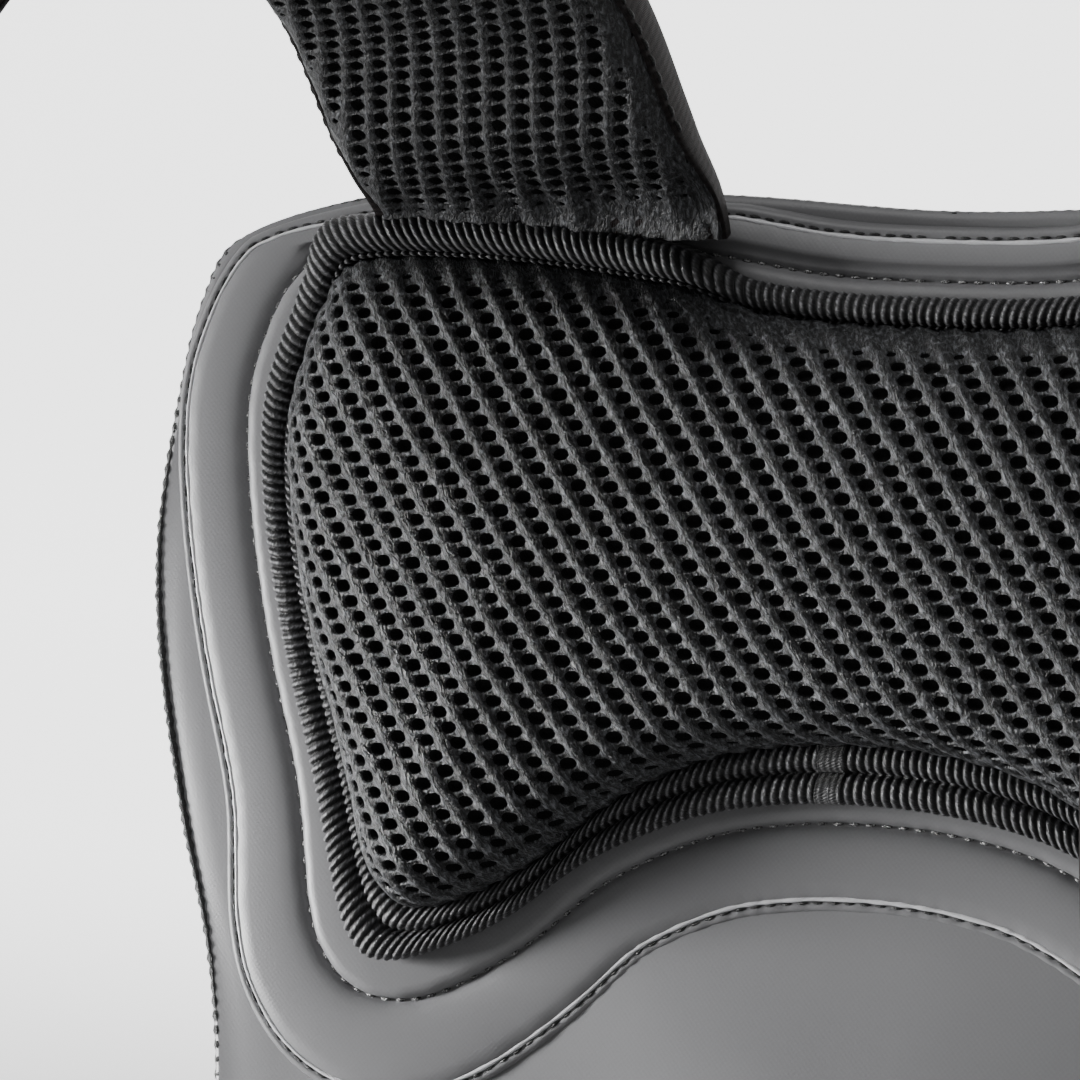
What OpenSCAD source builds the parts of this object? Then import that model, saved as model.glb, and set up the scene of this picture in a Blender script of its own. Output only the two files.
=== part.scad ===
// Strap-on back protector: a curved, padded panel of coated fabric with two mesh
// cushions on the wearer's side, five overlapping plates on the outer side, two
// padded shoulder straps and a two-part waist belt with a side-release buckle.
// X runs across the back, Y points away from the wearer, Z points up.
// The origin is on the wearer's side of the panel, at the middle of the waist line.

/* [Back panel] */
// Width of the panel across the shoulder blades
panel_w = 269; // [230:1:330]
// Width of the panel at the waist
waist_w = 216; // [196:1:236]
// Height of the panel's top edge above the waist line
panel_top = 373; // [340:1:450]
// Length of the tail below the waist line
tail_drop = 112; // [95:1:140]
// Thickness of the coated fabric
skin_t = 1; // [0.6:0.1:1.5]
// Thickness of the soft foam layer
comfort_t = 3; // [2:0.5:6]
// Thickness of the impact foam layer
impact_t = 10; // [6:0.5:16]
// Width of the flat seam around the foam
seam_w = 16; // [12:1:22]
// Width of the overlock thread round the raw edge
edge_t = 0.9; // [0.5:0.1:1.5]

/* [Back curve] */
// Height of the deepest point of the small of the back
lumbar_z = 20; // [0:5:40]
// Radius of the curve above the small of the back
upper_r = 560; // [450:10:700]
// Lean of the upper back from the vertical, in degrees
lean = 15; // [8:1:18]
// Radius of the curve over the tail
tail_r = 400; // [300:10:600]

/* [Upper cushion] */
// Width over the binding
pad_w = 229; // [200:1:240]
// Height from the top edge to the lower corners
pad_h = 112; // [95:1:130]
// Rise of the arch between the lower corners
pad_rise = 30; // [20:1:36]
// Distance of the top edge below the panel's top edge
pad_drop = 8.5; // [7:0.5:14]
// Height of the foam
pad_foam_t = 15; // [10:0.5:22]

/* [Lumbar cushion] */
// Width over the binding
low_pad_w = 150; // [130:1:160]
// Height from the upper corners to the lower edge
low_pad_h = 88; // [75:1:100]
// Rise of the arch between the upper corners
low_pad_rise = 20; // [14:1:26]
// Height of its upper corners above the waist line
low_pad_top = 52; // [40:1:60]
// Height of the foam
low_pad_foam_t = 11; // [8:0.5:16]

/* [Cushion covers] */
// Thickness of the air mesh
mesh_t = 3; // [2:0.5:4]
// Width of the binding tape round each cushion
binding_w = 9; // [7:0.5:11]
// Thickness of the bound edge
binding_t = 6; // [4:0.5:8]
// Width of the carrier's rim outside the binding
rim_w = 4.2; // [3:0.2:6]
// Width of the raised band outside the rim
band_w = 13.5; // [10:0.5:16]
// Width of the rim and of the band along an upper edge, as a share
top_share = 0.62; // [0.5:0.02:0.8]
// Extra width of the rim, and of the band again, round the cushion's two corners
corner_extra = 3.2; // [0:0.2:4]
// Height of the raised band
band_t = 4; // [3:0.5:6]

/* [Plates] */
// Thickness of a plate
plate_t = 3; // [2:0.5:4]
// Height of a plate
plate_h = 88; // [76:1:96]
// Overlap of two plates
plate_lap = 14; // [10:1:20]
// Height of the top plate's upper edge above the waist line
plates_top = 329; // [310:1:340]
// Width of the widest plate
plate_w = 168; // [140:1:176]
// Radius of a rivet's shank
rivet_r = 2; // [1.5:0.25:3]
// Radius of a rivet's head
rivet_head_r = 5; // [4:0.5:7]

/* [Shoulder straps] */
// Width of a strap where it leaves the panel
strap_w = 60.4; // [52:0.2:68]
// Width of a strap at its lower end
strap_end_w = 52; // [44:1:60]
// Distance of a strap's middle from the middle of the back
strap_x = 64; // [60:0.5:72]
// Thickness of the strap's foam
strap_foam_t = 9; // [6:0.5:11]
// Thickness of the strap's air mesh
strap_mesh_t = 3.5; // [2:0.5:4]
// Height of the arch over the shoulder above the panel's top edge
strap_rise = 68; // [50:1:90]
// Reach of the straps in front of the panel's top edge
strap_reach = 176; // [150:1:200]
// Width of the adjuster webbing
web_w = 25; // [20:1:30]
// Thickness of the webbing
web_t = 1.6; // [1.2:0.1:2.2]

/* [Waist belt] */
// Height of a wing at the panel
wing_h = 100; // [80:1:110]
// Height of a wing at its front end
wing_end_h = 64; // [52:1:76]
// Thickness of a wing
wing_t = 10; // [8:0.5:14]
// Radius of a wing's bend round the waist
wing_r = 118; // [108:1:126]
// Angle of the bend at the panel, in degrees
wing_start = 56; // [50:1:60]
// Angle of the bend at the front end, in degrees
wing_stop = -62; // [-66:1:-58]
// Radius of the webbing's bend in front of a wing
front_r = 60; // [50:1:70]
// Width of the belt webbing
belt_w = 38; // [30:1:40]

/* [Buckle] */
// Width of the buckle
buckle_h = 50; // [46:1:56]
// Thickness of the buckle
buckle_t = 12; // [10:0.5:14]
// Distance of each webbing bar from the middle
bar_x = 62; // [60:1:66]
// Radius of a webbing bar
bar_r = 2; // [1.5:0.25:2.5]
// Wall of the socket
wall = 2; // [1.5:0.25:2.5]

/* [Hidden] */

$fn = 64;
fit = 0.3;
far = 600;
half_w = panel_w / 2;
half_waist = waist_w / 2;
foam_back = skin_t + comfort_t + impact_t;
cover_back = foam_back + skin_t;

// ---- The curve of the back -------------------------------------------------

curve_top_z = lumbar_z + upper_r * sin(lean);
curve_top_y = upper_r * (1 - cos(lean));

// Front face of the base panel at a height
function back_y(z) =
    z < lumbar_z ? tail_r - sqrt(tail_r * tail_r - pow(lumbar_z - z, 2)) :
    z < curve_top_z ? upper_r - sqrt(upper_r * upper_r - pow(z - lumbar_z, 2)) :
    curve_top_y + (z - curve_top_z) * tan(lean);

// Slope of that face from the vertical
function back_slope(z) =
    z < lumbar_z ? -asin((lumbar_z - z) / tail_r) :
    z < curve_top_z ? asin((z - lumbar_z) / upper_r) : lean;

// ---- Outlines ----------------------------------------------------------------

function spline_point(a, b, c, d, t) =
    0.5 * (2 * b + (c - a) * t + (2 * a - 5 * b + 4 * c - d) * t * t
        + (3 * b - a - 3 * c + d) * t * t * t);

// Closed smooth curve through points, with a number of steps between two of them
function closed_curve(p, steps) = let (n = len(p)) [
    for (i = [0 : n - 1], k = [0 : steps - 1])
        spline_point(p[(i + n - 1) % n], p[i], p[(i + 1) % n], p[(i + 2) % n], k / steps)];

// Open smooth curve through points
function open_curve(p, steps) = let (n = len(p)) [
    for (i = [0 : n - 2], k = [0 : steps - 1])
        spline_point(p[max(i - 1, 0)], p[i], p[i + 1], p[min(i + 2, n - 1)], k / steps),
    p[n - 1]];

// A right half, from its top middle to its bottom middle, with its mirror image
function both_halves(p) = concat(p, [for (i = [len(p) - 2 : -1 : 1]) [-p[i][0], p[i][1]]]);

function unit(v) = v / norm(v);

// Clockwise outline moved outwards by side, and by up where it faces up
function outset(p, side, up) = let (n = len(p)) [
    for (i = [0 : n - 1])
        let (t = unit(p[(i + 1) % n] - p[(i + n - 1) % n]),
            out = [-t[1], t[0]],
            lift = pow(max(0, out[1]), 2))
        p[i] + out * (side + (up - side) * lift)];

taper = half_w - half_waist;
base_half = [
    [0, panel_top - 1.5], [0.27 * half_w, panel_top], [0.6 * half_w, panel_top + 0.5],
    [0.78 * half_w, panel_top - 2.3], [0.93 * half_w, panel_top - 9],
    [0.974 * half_w, panel_top - 19], [0.992 * half_w, panel_top - 34],
    [half_w, panel_top - 57], [half_waist + 0.89 * taper, panel_top - 77],
    [half_waist + 0.62 * taper, panel_top - 101], [half_waist + 0.29 * taper, panel_top - 125],
    [half_waist + 0.12 * taper, panel_top - 148], [half_waist + 0.03 * taper, panel_top - 185],
    [half_waist, panel_top - 235], [half_waist, 60], [half_waist, 0], [half_waist, -52],
    [0.965 * half_waist, -0.67 * tail_drop], [0.84 * half_waist, -0.85 * tail_drop],
    [0.56 * half_waist, -0.96 * tail_drop], [0, -tail_drop]];
base_outline = closed_curve(both_halves(base_half), 2);

// The foam's outline: the panel's, drawn in by the seam towards its middle
panel_h = panel_top + tail_drop;
panel_mid_z = (panel_top - tail_drop) / 2;
foam_share = [1 - seam_w / half_w, 1 - 2 * seam_w / panel_h];
foam_outline = [for (p = base_outline)
    [p[0] * foam_share[0], panel_mid_z + (p[1] - panel_mid_z) * foam_share[1]]];

// Right half of a cushion: share of the half width, share of the height, share of the arch
CUSHION = [
    [0, 0.055, 0], [0.17, 0.05, 0], [0.35, 0.027, 0], [0.62, 0, 0], [0.86, 0.005, 0],
    [0.95, 0.065, 0], [0.99, 0.155, 0], [1, 0.255, 0], [0.975, 0.4, 0], [0.923, 0.577, 0],
    [0.85, 0.765, 0], [0.795, 0.925, 0], [0.757, 0.982, 0], [0.71, 1, 0], [0.64, 1, 0.05],
    [0.525, 1, 0.26], [0.405, 1, 0.6], [0.262, 1, 0.86], [0.13, 1, 0.97], [0, 1, 1]];
function cushion_half(w, h, rise) = [for (c = CUSHION) [c[0] * w / 2, rise * c[2] - h * c[1]]];

// Outline of the upper cushion, drawn in all round by a margin
pad_top = panel_top - pad_drop;
function pad_line(margin) = closed_curve(both_halves(
    [for (p = cushion_half(pad_w - 2 * margin, pad_h - 2 * margin, pad_rise))
        [p[0], pad_top - margin + p[1]]]), 2);

// Outline of the lumbar cushion, which is the same shape turned over
low_pad_bottom = low_pad_top - low_pad_h;
function low_pad_line(margin) = let (
    half = cushion_half(low_pad_w - 2 * margin, low_pad_h - 2 * margin, low_pad_rise))
    closed_curve(both_halves([for (i = [len(half) - 1 : -1 : 0])
        [half[i][0], low_pad_bottom + margin - half[i][1]]]), 2);

// Right one of the two corners beside each cushion's arch
corner_share = 0.355;
pad_corner = [corner_share * pad_w, pad_top - pad_h];
low_pad_corner = [corner_share * low_pad_w, low_pad_bottom + low_pad_h];

// Clockwise outline moved outwards, and further round the corner and its mirror image
corner_reach = 22;
function near_corner(p, corner) =
    exp(-pow(norm([abs(p[0]) - corner[0], p[1] - corner[1]]) / corner_reach, 2));
function widen(outline, side, corner) = let (
    even = outset(outline, side, side * top_share),
    more = outset(outline, side + corner_extra, side * top_share + corner_extra))
    [for (i = [0 : len(outline) - 1])
        even[i] + (more[i] - even[i]) * near_corner(outline[i], corner)];
function rim_of(outline, corner) = widen(outline, rim_w, corner);
function band_of(outline, corner) = widen(rim_of(outline, corner), band_w, corner);

// ---- Layers that follow the back curve ----------------------------------------

// Slab between two distances behind the panel's front face; each may change
// evenly from its first value at the low end to its second at the high end
module slab(front, back, low = -150, high = 480, steps = 42) {
    z = [for (i = [0 : steps]) low + (high - low) * i / steps];
    s = [for (i = [0 : steps]) i / steps];
    rotate([90, 0, 90])
        translate([0, 0, -far / 2])
            linear_extrude(far)
                polygon(concat(
                    [for (i = [0 : steps])
                        [back_y(z[i]) + front[0] + (front[1] - front[0]) * s[i], z[i]]],
                    [for (i = [steps : -1 : 0])
                        [back_y(z[i]) + back[0] + (back[1] - back[0]) * s[i], z[i]]]));
}

// Straight prism of an outline, along Y
module prism(outline) {
    rotate([90, 0, 0])
        translate([0, 0, -far / 2])
            linear_extrude(far)
                polygon(outline);
}

// A layer of the panel with an outline, between two distances behind its front face
module layer(outline, front, back) {
    intersection() {
        slab([front, front], [back, back]);
        prism(outline);
    }
}

module mirrored(side) {
    if (side > 0) children();
    else mirror([1, 0, 0]) children();
}

// ---- Back panel -----------------------------------------------------------------

module base_panel() {
    color("dimgray") layer(base_outline, 0, skin_t);
}

module comfort_foam() {
    color("khaki") layer(foam_outline, skin_t, skin_t + comfort_t);
}

module impact_foam() {
    color("goldenrod")
        difference() {
            layer(foam_outline, skin_t + comfort_t, foam_back);
            rivet_holes();
        }
}

module outer_cover() {
    color("gray")
        difference() {
            union() {
                layer(base_outline, skin_t, 2 * skin_t);
                layer(outset(foam_outline, skin_t, skin_t), skin_t, cover_back);
            }
            layer(foam_outline, skin_t / 2, foam_back);
            rivet_holes();
        }
}

module edge_overlock() {
    color("black")
        difference() {
            layer(outset(base_outline, edge_t, edge_t), -0.3, 2 * skin_t + 0.3);
            layer(base_outline, -1, 2 * skin_t + 1);
        }
}

// ---- Cushions ----------------------------------------------------------------------

// The raised band, trimmed where it would pass the panel's own edge
module band(outline, corner) {
    color("gray")
        intersection() {
            layer(band_of(outline, corner), -band_t, 0);
            prism(outset(base_outline, -fit, -fit));
        }
}

module carrier(outline, corner) {
    color("dimgray") layer(rim_of(outline, corner), -band_t - skin_t, -band_t);
}

pad_seat = band_t + skin_t;
foam_margin = binding_w + mesh_t;

module pad_foam(outline, foam_t) {
    color("khaki") layer(outline, -pad_seat - foam_t, -pad_seat);
}

module pad_mesh(outline, foam_line, foam_t) {
    color("#303236")
        difference() {
            layer(outline, -pad_seat - foam_t - mesh_t, -pad_seat);
            layer(foam_line, -pad_seat - foam_t, 0);
        }
}

module pad_binding(outline, mesh_line) {
    color("black")
        difference() {
            layer(outline, -pad_seat - binding_t, -pad_seat);
            layer(mesh_line, -far / 4, 0);
        }
}

module upper_band() { band(pad_line(0), pad_corner); }
module upper_carrier() { carrier(pad_line(0), pad_corner); }
module upper_pad_foam() { pad_foam(pad_line(foam_margin), pad_foam_t); }
module upper_pad_mesh() { pad_mesh(pad_line(binding_w), pad_line(foam_margin), pad_foam_t); }
module upper_pad_binding() { pad_binding(pad_line(0), pad_line(binding_w)); }
module lumbar_band() { band(low_pad_line(0), low_pad_corner); }
module lumbar_carrier() { carrier(low_pad_line(0), low_pad_corner); }
module lumbar_pad_foam() { pad_foam(low_pad_line(foam_margin), low_pad_foam_t); }
module lumbar_pad_mesh() {
    pad_mesh(low_pad_line(binding_w), low_pad_line(foam_margin), low_pad_foam_t);
}
module lumbar_pad_binding() { pad_binding(low_pad_line(0), low_pad_line(binding_w)); }

// ---- Plates ------------------------------------------------------------------------

// Share of the widest plate's width at each plate's upper and lower edge
PLATE_TAPER = [[0.8, 0.94], [0.94, 1], [0.98, 0.9], [0.88, 0.78], [0.78, 0.6]];
plate_pitch = plate_h - plate_lap;
// Rise of a plate from its upper to its lower edge, which clears the next plate
plate_lift = (plate_t + fit) / (1 - plate_lap / plate_h);
// Place of a plate's rivets: share of its half width, share of its height from its upper edge
RIVET_PLACE = [0.78, 0.4];

function plate_high(i) = plates_top - i * plate_pitch;

module plate(i) {
    top = plate_high(i);
    low = top - plate_h;
    wide_top = plate_w / 2 * PLATE_TAPER[i][0];
    wide_low = plate_w / 2 * PLATE_TAPER[i][1];
    half = [[0, top], [0.6 * wide_top, top], [0.88 * wide_top, top - 4], [wide_top, top - 14],
        [(wide_top + wide_low) / 2, top - plate_h / 2], [wide_low, low + 22],
        [0.86 * wide_low, low + 9], [0.5 * wide_low, low + 4], [0, low]];
    difference() {
        intersection() {
            slab([cover_back + plate_lift, cover_back],
                [cover_back + plate_lift + plate_t, cover_back + plate_t], low - 1, top + 1, 12);
            prism(closed_curve(both_halves(half), 3));
        }
        rivet_holes();
    }
}

function rivet_z(i) = plate_high(i) - RIVET_PLACE[1] * plate_h;
function rivet_x(i) = RIVET_PLACE[0] * plate_w / 4 * (PLATE_TAPER[i][0] + PLATE_TAPER[i][1]);
// Extra slope of a plate over the panel, from its lift
plate_tilt = atan(plate_lift / (plate_h + 2));
// Distance of a plate's outer face behind the panel's front face, at its rivets
rivet_seat = cover_back + plate_t + plate_lift * RIVET_PLACE[1];

// Places its children at each rivet, with Z along the rivet and 0 on the plate
module at_rivets() {
    for (i = [0 : len(PLATE_TAPER) - 1], side = [-1, 1])
        translate([side * rivet_x(i), back_y(rivet_z(i)) + rivet_seat, rivet_z(i)])
            rotate([-90 - back_slope(rivet_z(i)) + plate_tilt, 0, 0])
                children();
}

rivet_depth = plate_t + plate_lift + skin_t + 4;

module rivet_holes() {
    at_rivets()
        translate([0, 0, -rivet_depth - 1])
            cylinder(h = rivet_depth + 6, r = rivet_r + fit / 3);
}

module plate_rivets() {
    color("silver")
        at_rivets() {
            translate([0, 0, 0.15]) cylinder(h = 1.6, r1 = rivet_head_r, r2 = rivet_head_r * 0.72);
            translate([0, 0, -rivet_depth]) cylinder(h = rivet_depth + 0.5, r = rivet_r);
        }
}

module plate_neck() { color("#3a3d40") plate(0); }
module plate_upper() { color("#3a3d40") plate(1); }
module plate_middle() { color("#3a3d40") plate(2); }
module plate_lower() { color("#3a3d40") plate(3); }
module plate_lumbar() { color("#3a3d40") plate(4); }

// ---- Shoulder straps -----------------------------------------------------------------

strap_t = strap_foam_t + strap_mesh_t + skin_t;
strap_root_z = pad_top + 1;
strap_root_y = back_y(strap_root_z) - band_t - skin_t - strap_t / 2 - fit;
strap_front_y = back_y(panel_top) - strap_reach;
strap_high_z = panel_top + strap_rise - strap_t / 2;

// The right strap's centre line, from the panel over the shoulder and down the chest
strap_points = [
    [strap_x, strap_root_y, strap_root_z],
    [strap_x + 0.4, strap_root_y - 2, strap_root_z + 7],
    [strap_x + 2, strap_root_y - 10, strap_root_z + 20],
    [strap_x + 5, strap_root_y - 25, strap_root_z + 41],
    [strap_x + 11, strap_root_y - 51, strap_high_z - 10],
    [strap_x + 22, strap_root_y - 86, strap_high_z],
    [strap_x + 35, strap_root_y - 120, strap_high_z - 8],
    [strap_x + 46, strap_front_y + 12, strap_high_z - 33],
    [strap_x + 50, strap_front_y, strap_high_z - 70],
    [strap_x + 47.5, strap_front_y - 3, strap_high_z - 108],
    [strap_x + 48.3, strap_front_y - 3, strap_high_z - 146],
    [strap_x + 50.5, strap_front_y + 5, strap_high_z - 186],
    [strap_x + 48, strap_front_y + 20, strap_high_z - 216],
    [strap_x + 43, strap_front_y + 38, strap_high_z - 236]];
strap_line = open_curve(strap_points, 2);
strap_last = len(strap_line) - 1;

function strap_tangent(i) = unit(strap_line[min(i + 1, strap_last)] - strap_line[max(i - 1, 0)]);
function strap_out(i) = unit(cross(strap_tangent(i), [1, 0, 0]));
function strap_across(i) = cross(strap_out(i), strap_tangent(i));
function strap_half(i) = let (s = i / strap_last)
    (strap_w + (strap_end_w - strap_w) * s) / 2;

// A band along the strap between two distances from its middle surface
module strap_band(inner, outer) {
    section = [[-1, inner], [-1, outer], [1, outer], [1, inner]];
    points = [for (i = [0 : strap_last], c = section)
        strap_line[i] + strap_across(i) * c[0] * strap_half(i) + strap_out(i) * c[1]];
    // The inner and outer walls are split alike, so that bands lie flush on each other
    walls = [for (i = [0 : strap_last - 1]) let (a = i * 4, b = a + 4) each [
        [a, a + 1, b + 1], [a, b + 1, b], [a + 1, a + 2, b + 2], [a + 1, b + 2, b + 1],
        [a + 2, a + 3, b + 2], [a + 3, b + 3, b + 2], [a + 3, a, b + 3], [a, b, b + 3]]];
    last = strap_last * 4;
    polyhedron(points, concat(walls, [[3, 2, 1, 0], [last, last + 1, last + 2, last + 3]]));
}

foam_in = -strap_t / 2 + strap_mesh_t;
foam_out = foam_in + strap_foam_t;

module strap_foam(side) {
    color("khaki") mirrored(side)
        strap_band(foam_in, foam_out);
}

module strap_mesh(side) {
    color("#303236") mirrored(side)
        strap_band(-strap_t / 2, foam_in);
}

module strap_cover(side) {
    color("#26201f") mirrored(side)
        strap_band(foam_out, foam_out + skin_t);
}

// ---- Strap adjusters --------------------------------------------------------------------

strap_end = strap_points[len(strap_points) - 1];
patch_z = 118;
patch_x = half_waist - 17;
patch_t = 2;
patch_h = 34;
// Distance of the webbing's middle above the patch
patch_web = 2.2;
lock_side_t = 3;
lock_w = web_w + 9;
lock_t = 4;
lock_end = 3;
// Distance of the ladder lock's upper bar below the strap's end
lock_gap = 12;
// Distance between two of its bars
bar_step = 11;
keeper_wall = 1.5;
keeper_h = 8;
// Place of the keeper along the webbing's run
keeper_share = 0.62;
patch_point = [patch_x, back_y(patch_z) - patch_t - patch_web, patch_z];
adjust_run = norm(patch_point - strap_end);
adjust_dir = (patch_point - strap_end) / adjust_run;

// Places its children at the strap's lower end: Z runs down to the panel's patch,
// Y runs across the webbing and X through its thickness
module at_strap_end(side) {
    mirrored(side)
        translate(strap_end)
            rotate([0, acos(adjust_dir[2]), atan2(adjust_dir[1], adjust_dir[0])])
                children();
}

// Racetrack loop of webbing round a bar, seen along the bar
module web_loop(from, to, thick) {
    inner = bar_r + fit;
    difference() {
        racetrack(inner + thick, from, to);
        racetrack(inner, from, to);
    }
}

module racetrack(r, from, to) {
    translate([0, from]) circle(r);
    translate([0, to]) circle(r);
    translate([-r, from]) square([2 * r, to - from]);
}

// Webbing sewn into the strap's end and round the ladder lock's upper bar
module strap_loop(side) {
    color("black") at_strap_end(side)
        rotate([90, 0, 0])
            translate([0, 0, -web_w / 2])
                linear_extrude(web_w)
                    web_loop(1.5 + bar_r + fit + web_t, lock_gap, web_t);
}

module ladder_lock(side) {
    color("#1c1c1e") at_strap_end(side)
        translate([0, 0, lock_gap]) {
            for (z = [0, bar_step, 2 * bar_step])
                translate([0, -lock_w / 2 + 1, z])
                    rotate([-90, 0, 0]) cylinder(h = lock_w - 2, r = bar_r);
            for (s = [-1, 1])
                translate([-lock_t / 2, s * (lock_w - lock_side_t) / 2 - lock_side_t / 2,
                    -lock_end])
                    cube([lock_t, lock_side_t, 2 * bar_step + 2 * lock_end]);
        }
}

// The webbing lies over the middle bar, round the lowest one and down to the patch
module adjuster(side) {
    low_bar = lock_gap + 2 * bar_step;
    start = low_bar + bar_r + fit;
    color("black") at_strap_end(side) {
        rotate([90, 0, 0])
            translate([0, 0, -web_w / 2])
                linear_extrude(web_w)
                    difference() {
                        translate([0, low_bar]) circle(bar_r + fit + web_t);
                        translate([0, low_bar]) circle(bar_r + fit);
                    }
        translate([-web_t / 2, -web_w / 2, start + web_t - 0.3])
            cube([web_t, web_w, adjust_run - start - web_t - 1.2]);
    }
}

module adjuster_patch(side) {
    outline = [for (a = [[-1, -1], [1, -1], [1, 1], [-1, 1]])
        [side * patch_x + a[0] * (web_w / 2 + 3), patch_z + a[1] * patch_h / 2]];
    color("dimgray") layer(outline, -patch_t, 0);
}

module keeper(side) {
    inner_t = web_t + 2 * fit;
    inner_w = web_w + 2 * fit;
    color("#1c1c1e") at_strap_end(side)
        translate([0, 0, adjust_run * keeper_share])
            linear_extrude(keeper_h, center = true)
                difference() {
                    square([inner_t + 2 * keeper_wall, inner_w + 2 * keeper_wall], center = true);
                    square([inner_t, inner_w], center = true);
                }
}

// ---- Waist belt ---------------------------------------------------------------------------

wing_edge_t = 0.8;
wing_lip = 6;
root_r = wing_t / 2 + wing_edge_t;
hinge = [half_waist + edge_t + root_r + 0.5, 3];
wing_c = hinge - wing_r * [cos(wing_start), sin(wing_start)];
wing_tip = wing_c + wing_r * [cos(wing_stop), sin(wing_stop)];
front_c = wing_tip - front_r * [cos(wing_stop), sin(wing_stop)];
belt_t = 1.8;
belt_off = wing_t / 2 + wing_edge_t + belt_t / 2;
belt_y = front_c[1] - front_r - belt_off;

// Curved wall between two radii and two angles, standing on the XY plane
module arc_wall(r1, r2, a1, a2, h) {
    linear_extrude(h, center = true)
        intersection() {
            difference() {
                circle(r2, $fn = 180);
                circle(r1, $fn = 180);
            }
            polygon([[0, 0], for (k = [0 : 4]) let (a = a1 + (a2 - a1) * k / 4)
                1.4 * r2 * [cos(a), sin(a)]]);
        }
}

// Side view of a wing, tapering forwards, its lip taken off all round
module wing_side(lip) {
    y0 = hinge[1] + 20;
    y1 = wing_tip[1] - 20;
    h0 = wing_h / 2 - lip;
    h1 = wing_end_h / 2 - lip;
    rotate([90, 0, 90])
        linear_extrude(far)
            polygon([[y0, -h0], [y0, h0], [hinge[1] - 20, h0], [wing_tip[1], h1],
                [y1, h1], [y1, -h1], [wing_tip[1], -h1], [hinge[1] - 20, -h0]]);
}

// A layer of the wing between two distances from its middle surface
module wing_layer(inner, outer, lip) {
    lip_a = lip / wing_r * 180 / PI;
    intersection() {
        translate(wing_c)
            arc_wall(wing_r + inner, wing_r + outer, wing_stop + lip_a, wing_start - lip_a,
                wing_h + 10);
        wing_side(lip);
    }
}

wing_in = -wing_t / 2;

module wing_liner(side) {
    color("#303236") mirrored(side) wing_layer(wing_in, wing_in + mesh_t, wing_lip);
}

module wing_foam(side) {
    color("khaki") mirrored(side)
        wing_layer(wing_in + mesh_t, wing_t / 2 - skin_t, wing_lip);
}

module wing_skin(side) {
    color("gray") mirrored(side) wing_layer(wing_t / 2 - skin_t, wing_t / 2, wing_lip);
}

module wing_binding(side) {
    color("black") mirrored(side)
        difference() {
            union() {
                wing_layer(-root_r, root_r, 0);
                intersection() {
                    translate(hinge) cylinder(h = wing_h, r = root_r, center = true);
                    wing_side(0);
                }
            }
            wing_layer(-root_r - 5, root_r + 5, wing_lip);
        }
}

// Belt webbing along the wing's outer face, round to the front and round the buckle's bar
module belt(side) {
    start = wing_start - 14;
    color("black") mirrored(side) {
        translate(wing_c)
            arc_wall(wing_r + belt_off - belt_t / 2, wing_r + belt_off + belt_t / 2,
                wing_stop, start, belt_w);
        translate(front_c)
            arc_wall(front_r + belt_off - belt_t / 2, front_r + belt_off + belt_t / 2,
                -90, wing_stop, belt_w);
        translate([0, belt_y, 0])
            linear_extrude(belt_w, center = true)
                difference() {
                    union() {
                        translate([bar_x, -belt_t / 2]) square([front_c[0] - bar_x, belt_t]);
                        translate([bar_x, 0]) circle(bar_r + fit + belt_t);
                    }
                    translate([bar_x, 0]) circle(bar_r + fit);
                }
    }
}

slider_angle = 10;
slider_a = (wing_stop - 90) / 2;

module belt_slider(side) {
    gap = 2 * fit;
    span = slider_angle / 2;
    color("#1c1c1e") mirrored(side) translate(front_c)
        difference() {
            arc_wall(front_r + belt_off - belt_t / 2 - gap - 2,
                front_r + belt_off + belt_t / 2 + gap + 2,
                slider_a - span, slider_a + span, belt_w + 2 * gap + 5);
            arc_wall(front_r + belt_off - belt_t / 2 - gap,
                front_r + belt_off + belt_t / 2 + gap,
                slider_a - span - 5, slider_a + span + 5, belt_w + 2 * gap);
        }
}

// ---- Buckle ------------------------------------------------------------------------------

lug_t = 4;
// Wall of a lug behind the bar
lug_end = 1.5;
// Rear end of either half's body
body_back = bar_x - 11;
// Distances of the socket's mouth, the plug's shoulder and its prongs' tips from the middle
socket_mouth = 16;
plug_face = 37;
prong_tip = 11;
prong_h = 7;
prong_root = plug_face - fit;
catch_h = 3;
cavity_t = buckle_t - 2 * wall;
cavity_h = buckle_h - 2 * wall;
window_l = 15;
// Opening in each short side that the catches spring into
window_in = 12;
window_h = 8;
tongue_h = 10;
tongue_back = 3;

// Rear of each half: two lugs that hold the webbing bar
module bar_end() {
    translate([bar_x, belt_y, 0]) {
        cylinder(h = buckle_h - 2, r = bar_r, center = true);
        for (s = [-1, 1])
            translate([body_back - bar_x - 1, wall - buckle_t / 2,
                s * (buckle_h - lug_t) / 2 - lug_t / 2])
                cube([bar_x - body_back + 1 + bar_r + lug_end, buckle_t - 2 * wall, lug_t]);
    }
}

module buckle_socket() {
    color("#1c1c1e") mirror([1, 0, 0])
        difference() {
            union() {
                translate([socket_mouth, belt_y - buckle_t / 2, -buckle_h / 2])
                    cube([body_back - socket_mouth, buckle_t, buckle_h]);
                bar_end();
            }
            translate([socket_mouth - 1, belt_y - cavity_t / 2, -cavity_h / 2])
                cube([body_back - socket_mouth - wall, cavity_t, cavity_h]);
            for (s = [-1, 1])
                translate([socket_mouth + window_in, belt_y - cavity_t / 2,
                    (s * buckle_h - window_h) / 2])
                    cube([window_l, cavity_t, window_h]);
        }
}

tongue_t = cavity_t - 2 * fit;

module buckle_plug() {
    color("#1c1c1e") {
        translate([plug_face, belt_y - buckle_t / 2, -buckle_h / 2])
            cube([body_back - plug_face, buckle_t, buckle_h]);
        translate([prong_tip + tongue_back, belt_y - tongue_t / 2, -tongue_h / 2])
            cube([plug_face - prong_tip - tongue_back + 1, tongue_t, tongue_h]);
        bar_end();
    }
}

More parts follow.
